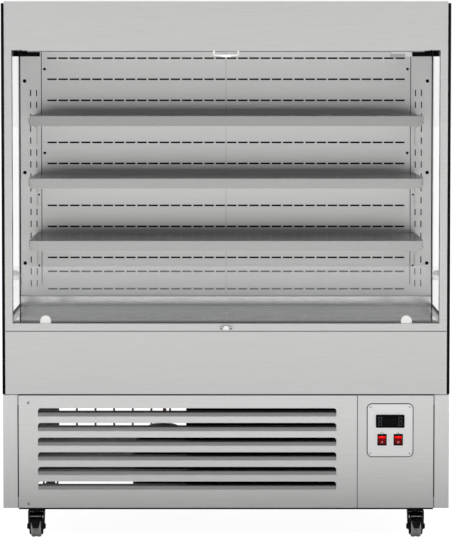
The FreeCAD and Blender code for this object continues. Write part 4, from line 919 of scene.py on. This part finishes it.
def fitLugs():
    h = handleLugs
    barLow = ends("blind_bar")[0]
    outline = roundedSquare(h["width"] / 2, (h["high"] - h["low"]) / 2, h["corner"], rounding["plain"])
    middle = barLow[2] + (h["high"] + h["low"]) / 2 * mm
    lugs = [slab((side * h["spread"] * mm, barLow[1], middle), outline, h["thickness"], h["arris"])
            for side in (-1, 1)]
    addPiece("handleLugs", lugs, whiteNylon, "blind_rail")


# Blind catch: a white tapered hook on the steel catch plate, between two dark screws
catchHook = {"low": -5.6, "high": 5.2, "halfLow": 8.6, "halfHigh": 4.6, "thickness": 3.0, "arris": 0.6,
             "screwSpread": 13.2, "screwDrop": 2.4, "screwRadius": 2.0, "screwHeight": 0.8}


def fitCatch():
    c = catchHook
    middle = frontOf("blind_catch")
    u = np.array([c["halfLow"], c["halfHigh"], -c["halfHigh"], -c["halfLow"]])
    v = np.array([c["low"], c["high"], c["high"], c["low"]])
    hook = slab(middle, (u, v), c["thickness"], c["arris"])
    addPiece("catchHook", [hook], whiteNylon, "cabinet")
    heads = [cap(middle + mm * np.array([side * c["screwSpread"], 0, -c["screwDrop"]]), c["screwRadius"],
                 c["screwRadius"], c["screwHeight"]) for side in (-1, 1)]
    addPiece("catchScrews", heads, blackZinc, "cabinet")


# Castor pressings: a cover round each swivel race and a hood with turned-down edges over each brake pedal;
# the hood's path and the lip's place are depth behind the case's front and height
castorCovers = {"race": 18.2, "radius": 23.5, "bend": 1.2, "fit": 0.3, "plate": 3.0, "fork": 11.0,
                "clear": 0.1, "plateHalf": 30.0, "turns": 48}
pedalHood = {"path": ((46.0, 67.4), (36.0, 67.2), (26.0, 63.2), (19.0, 60.3), (12.5, 57.4), (8.0, 54.2),
                      (4.0, 51.2), (2.2, 48.8)),
             "halfWidth": 17.5, "bend": 2.0, "bendSteps": 5, "drop": 9.0, "sheet": 0.7, "edge": 0.1,
             "lip": (15.0, 59.6), "lipRadius": 2.1, "lipHalf": 14.5, "lipTurns": 16}


def coverCastors():
    c = castorCovers
    low, high = ends("caster_plates")
    # cover: a round-shouldered ring turned about the swivel's axis
    top = high[2] / mm - c["plate"] - c["clear"]
    bottom = high[2] / mm - c["fork"] + c["fit"]
    shoulder = c["radius"] - c["bend"]
    radius = [c["race"], shoulder, c["radius"], c["radius"], shoulder, c["race"]]
    along = [bottom, bottom, bottom + c["bend"], top - c["bend"], top, top]
    inset = c["plateHalf"] * mm
    covers = []
    for corner in castors:
        x = np.sign(ends(corner + "_fork")[0][0]) * (high[0] - inset)
        y = low[1] + inset if corner.startswith("front") else high[1] - inset
        covers.append((turned((x, y, 0), radius, along, c["turns"], 0.0, up), 1, 1))
    addPiece("swivelCovers", covers, blackZinc, "cabinet")
    h = pedalHood
    # hood: a section with two rounded edges carried along the path, offset along its normals, in two skins
    path = np.array(h["path"])
    slope = np.gradient(path, axis=0)
    slope /= np.linalg.norm(slope, axis=1, keepdims=True)
    normal = np.stack([slope[:, 1], -slope[:, 0]], 1)
    angle = np.linspace(0, np.pi / 2, h["bendSteps"])
    edgeU = h["halfWidth"] - h["bend"] + h["bend"] * np.cos(angle)
    edgeV = -h["bend"] + h["bend"] * np.sin(angle)
    u = np.concatenate([[h["halfWidth"]], edgeU, -edgeU[::-1], [-h["halfWidth"]]])
    v = np.concatenate([[-h["drop"]], edgeV, edgeV[::-1], [-h["drop"]]])
    thick = np.concatenate([[0], np.full(len(path), h["sheet"]), [0]])[:, None]
    path = np.concatenate([path[:1], path, path[-1:]])
    normal = np.concatenate([normal[:1], normal, normal[-1:]])
    onTop = abs(u) < h["halfWidth"] - h["edge"]
    front = frontY / mm
    lipY, lipZ = front + h["lip"][0], h["lip"][1]
    section = rod(h["lipRadius"], h["lipTurns"], right)
    for node in ("front_left_brake", "front_right_brake"):
        x = middleOf(node)[0] / mm
        skins = []
        for k in (0.0, 1.0):
            across = u - k * thick * u / h["halfWidth"]
            lift = v - k * thick * onTop
            y = front + path[:, :1] + lift * normal[:, :1]
            z = path[:, 1:] + lift * normal[:, 1:]
            skins.append(np.stack(np.broadcast_arrays(x + across, y, z), -1))
        shell = np.concatenate([skins[0], skins[1][:, ::-1]], 1) * mm
        addPiece(node + "Hood", [(shell, 0, 1)], blackZinc, node)
        lipEnds = mm * np.array([[x - h["lipHalf"], lipY, lipZ], [x + h["lipHalf"], lipY, lipZ]])
        lip = drawn(*lipEnds, section)
        addPiece(node + "Lip", [lip], brightZinc, node)


fitScrews()
fitPlugs()
fitSideUnits()
fitDarkStrips()
fitSkirt()
fitBumpers()
fitLugs()
fitCatch()
coverCastors()
trimPlate()
trimController()
markRockers()
for corner in castors:
    fitWheel(corner + "_wheel")
hangBlind()
fitLens()
fitBeads()
print("pieces added")


# Stage: pale floor, world and lamps; reaches, wall and size are metres, counted from the case's front,
# glows are shares of white, sky and backdrop run over the height and depth of a ray of length one
stage = {"floorSize": 80.0, "floorGlow": 0.94, "floorShade": "#8a8a8a", "bounce": 0.45,
         "shadeGlow": 0.14, "openGlow": 0.98, "shadeReach": 0.35, "openReach": 1.5,
         "wallGlow": 1.3, "wallStart": 5.0, "wallEnd": 14.0,
         "skyLow": 0.055, "skyHigh": 0.34, "skyStart": 0.08, "skyEnd": 0.22,
         "backdropStart": 0.02, "backdropEnd": 0.25}


def paleFloor():
    mesh = bpy.data.meshes.new("floor")
    corners = np.array([[-1, -1, 0], [1, -1, 0], [1, 1, 0], [-1, 1, 0]]) * stage["floorSize"] / 2
    mesh.from_pydata(corners.tolist(), [], [(0, 1, 2, 3)])
    floor = bpy.data.objects.new("floor", mesh)
    bpy.context.scene.collection.objects.link(floor)
    material = bpy.data.materials.new("paleFloor")
    material.use_nodes = True
    wire(material.node_tree, [
        ("place", "TexCoord", {}, {}),
        ("axes", "SeparateXYZ", {}, {0: ("place", "Object")}),
        # metal sees the floor brighten away from the case's own shade, and again where it nears a pale wall
        ("open", "MapRange",
         {"From Min": frontY - stage["shadeReach"], "From Max": frontY - stage["openReach"],
          "To Min": stage["shadeGlow"], "To Max": stage["openGlow"]}, {"Value": ("axes", 1)}),
        ("wall", "MapRange",
         {"From Min": frontY - stage["wallStart"], "From Max": frontY - stage["wallEnd"],
          "To Max": stage["wallGlow"]}, {"Value": ("axes", 1)}),
        ("away", "Math", {"operation": "ADD"}, {0: ("open", 0), 1: ("wall", 0)}),
        # the eye sees it evenly pale, and so does a ray through glass
        ("path", "LightPath", {}, {}),
        ("plain", "Math", {"operation": "MAXIMUM"},
         {0: ("path", "Is Camera Ray"), 1: ("path", "Is Transmission Ray")}),
        ("level", "Mix", {"data_type": "FLOAT", 3: stage["floorGlow"]}, {0: ("plain", 0), 2: ("away", 0)}),
        # light that the floor throws on to the case is dimmer than what is seen of it
        ("mirrored", "Math", {"operation": "MAXIMUM"}, {0: ("plain", 0), 1: ("path", "Is Glossy Ray")}),
        ("seen", "Math", {"operation": "MAXIMUM", 1: stage["bounce"]}, {0: ("mirrored", 0)}),
        ("strength", "Math", {"operation": "MULTIPLY"}, {0: ("level", 0), 1: ("seen", 0)}),
        ("glow", "Emission", {"Color": (1, 1, 1, 1)}, {"Strength": ("strength", 0)}),
        ("matt", "BsdfDiffuse", {"Color": linear(stage["floorShade"])}, {}),
        ("both", "AddShader", {}, {0: ("glow", 0), 1: ("matt", 0)}),
        ("surface", "OutputMaterial", {}, {"Surface": ("both", 0)}),
    ])
    mesh.materials.append(material)


def studioWorld():
    world = bpy.data.worlds.new("studio")
    bpy.context.scene.world = world
    world.use_nodes = True
    wire(world.node_tree, [
        ("place", "TexCoord", {}, {}),
        ("axes", "SeparateXYZ", {}, {0: ("place", "Generated")}),
        # metal sees a dark room just above the horizon and a dim ceiling over it
        ("sky", "MapRange",
         {"From Min": stage["skyStart"], "From Max": stage["skyEnd"], "To Min": stage["skyLow"],
          "To Max": stage["skyHigh"], "interpolation_type": "SMOOTHSTEP"}, {"Value": ("axes", 2)}),
        # behind the case hangs a white backdrop, which the eye sees all round
        ("behind", "MapRange", {"From Min": stage["backdropStart"], "From Max": stage["backdropEnd"]},
         {"Value": ("axes", 1)}),
        ("path", "LightPath", {}, {}),
        ("seen", "Math", {"operation": "MAXIMUM"},
         {0: ("path", "Is Camera Ray"), 1: ("path", "Is Transmission Ray")}),
        ("white", "Math", {"operation": "MAXIMUM"}, {0: ("seen", 0), 1: ("behind", 0)}),
        ("level", "Mix", {"data_type": "FLOAT", 3: 1.0}, {0: ("white", 0), 2: ("sky", 0)}),
        ("back", "Background", {"Color": (1, 1, 1, 1)}, {"Strength": ("level", 0)}),
        ("surface", "OutputWorld", {}, {"Surface": ("back", 0)}),
    ])


lamps = {
    "frontBox": {"place": (0.0, -3.2, 3.4), "aim": (0.0, 0.0, 0.8), "size": (3.4, 2.0), "power": 110.0},
    "leftBox": {"place": (-3.4, -1.8, 1.9), "aim": (0.0, 0.0, 0.7), "size": (1.6, 2.6), "power": 45.0},
    "rightBox": {"place": (3.4, -1.8, 1.9), "aim": (0.0, 0.0, 0.7), "size": (1.6, 2.6), "power": 45.0},
}


def softBox(name, lamp):
    light = bpy.data.lights.new(name, "AREA")
    light.shape = "RECTANGLE"
    light.size, light.size_y = lamp["size"]
    light.energy = lamp["power"]
    holder = bpy.data.objects.new(name, light)
    bpy.context.scene.collection.objects.link(holder)
    toward = Vector(lamp["aim"]) - Vector(lamp["place"])
    holder.location = lamp["place"]
    holder.rotation_euler = toward.to_track_quat("-Z", "Y").to_euler()
    holder.visible_glossy = False  # it lights the case without showing in the steel


paleFloor()
studioWorld()
for lampName, lamp in lamps.items():
    softBox(lampName, lamp)
bpy.context.scene.view_settings.view_transform = "Standard"
print("stage and lamps ready")

# Camera: eye a little under the canopy's height, far back; most of the drop is tilt, the rest is shift
eye = {"imageHeight": 540, "distance": 7.0, "height": 1.302, "scale": 2.679 * mm,
       "horizonRow": 55, "shift": -0.13, "sensor": 36.0, "fit": 1.0036, "far": 100}


def makeCamera():
    data = bpy.data.cameras.new("camera")
    camera = bpy.data.objects.new("camera", data)
    bpy.context.scene.collection.objects.link(camera)
    focalPixels = eye["distance"] / eye["scale"] * eye["fit"]
    drop = eye["imageHeight"] / 2 - eye["horizonRow"] + eye["shift"] * eye["imageHeight"]
    data.sensor_width = eye["sensor"]
    data.lens = eye["sensor"] * focalPixels / eye["imageHeight"]
    data.shift_y = eye["shift"]
    data.clip_end = eye["far"]
    camera.location = (0, frontY - eye["distance"], eye["height"])
    camera.rotation_euler = (math.pi / 2 - math.atan(drop / focalPixels), 0, 0)
    bpy.context.scene.camera = camera


makeCamera()
print("camera set")
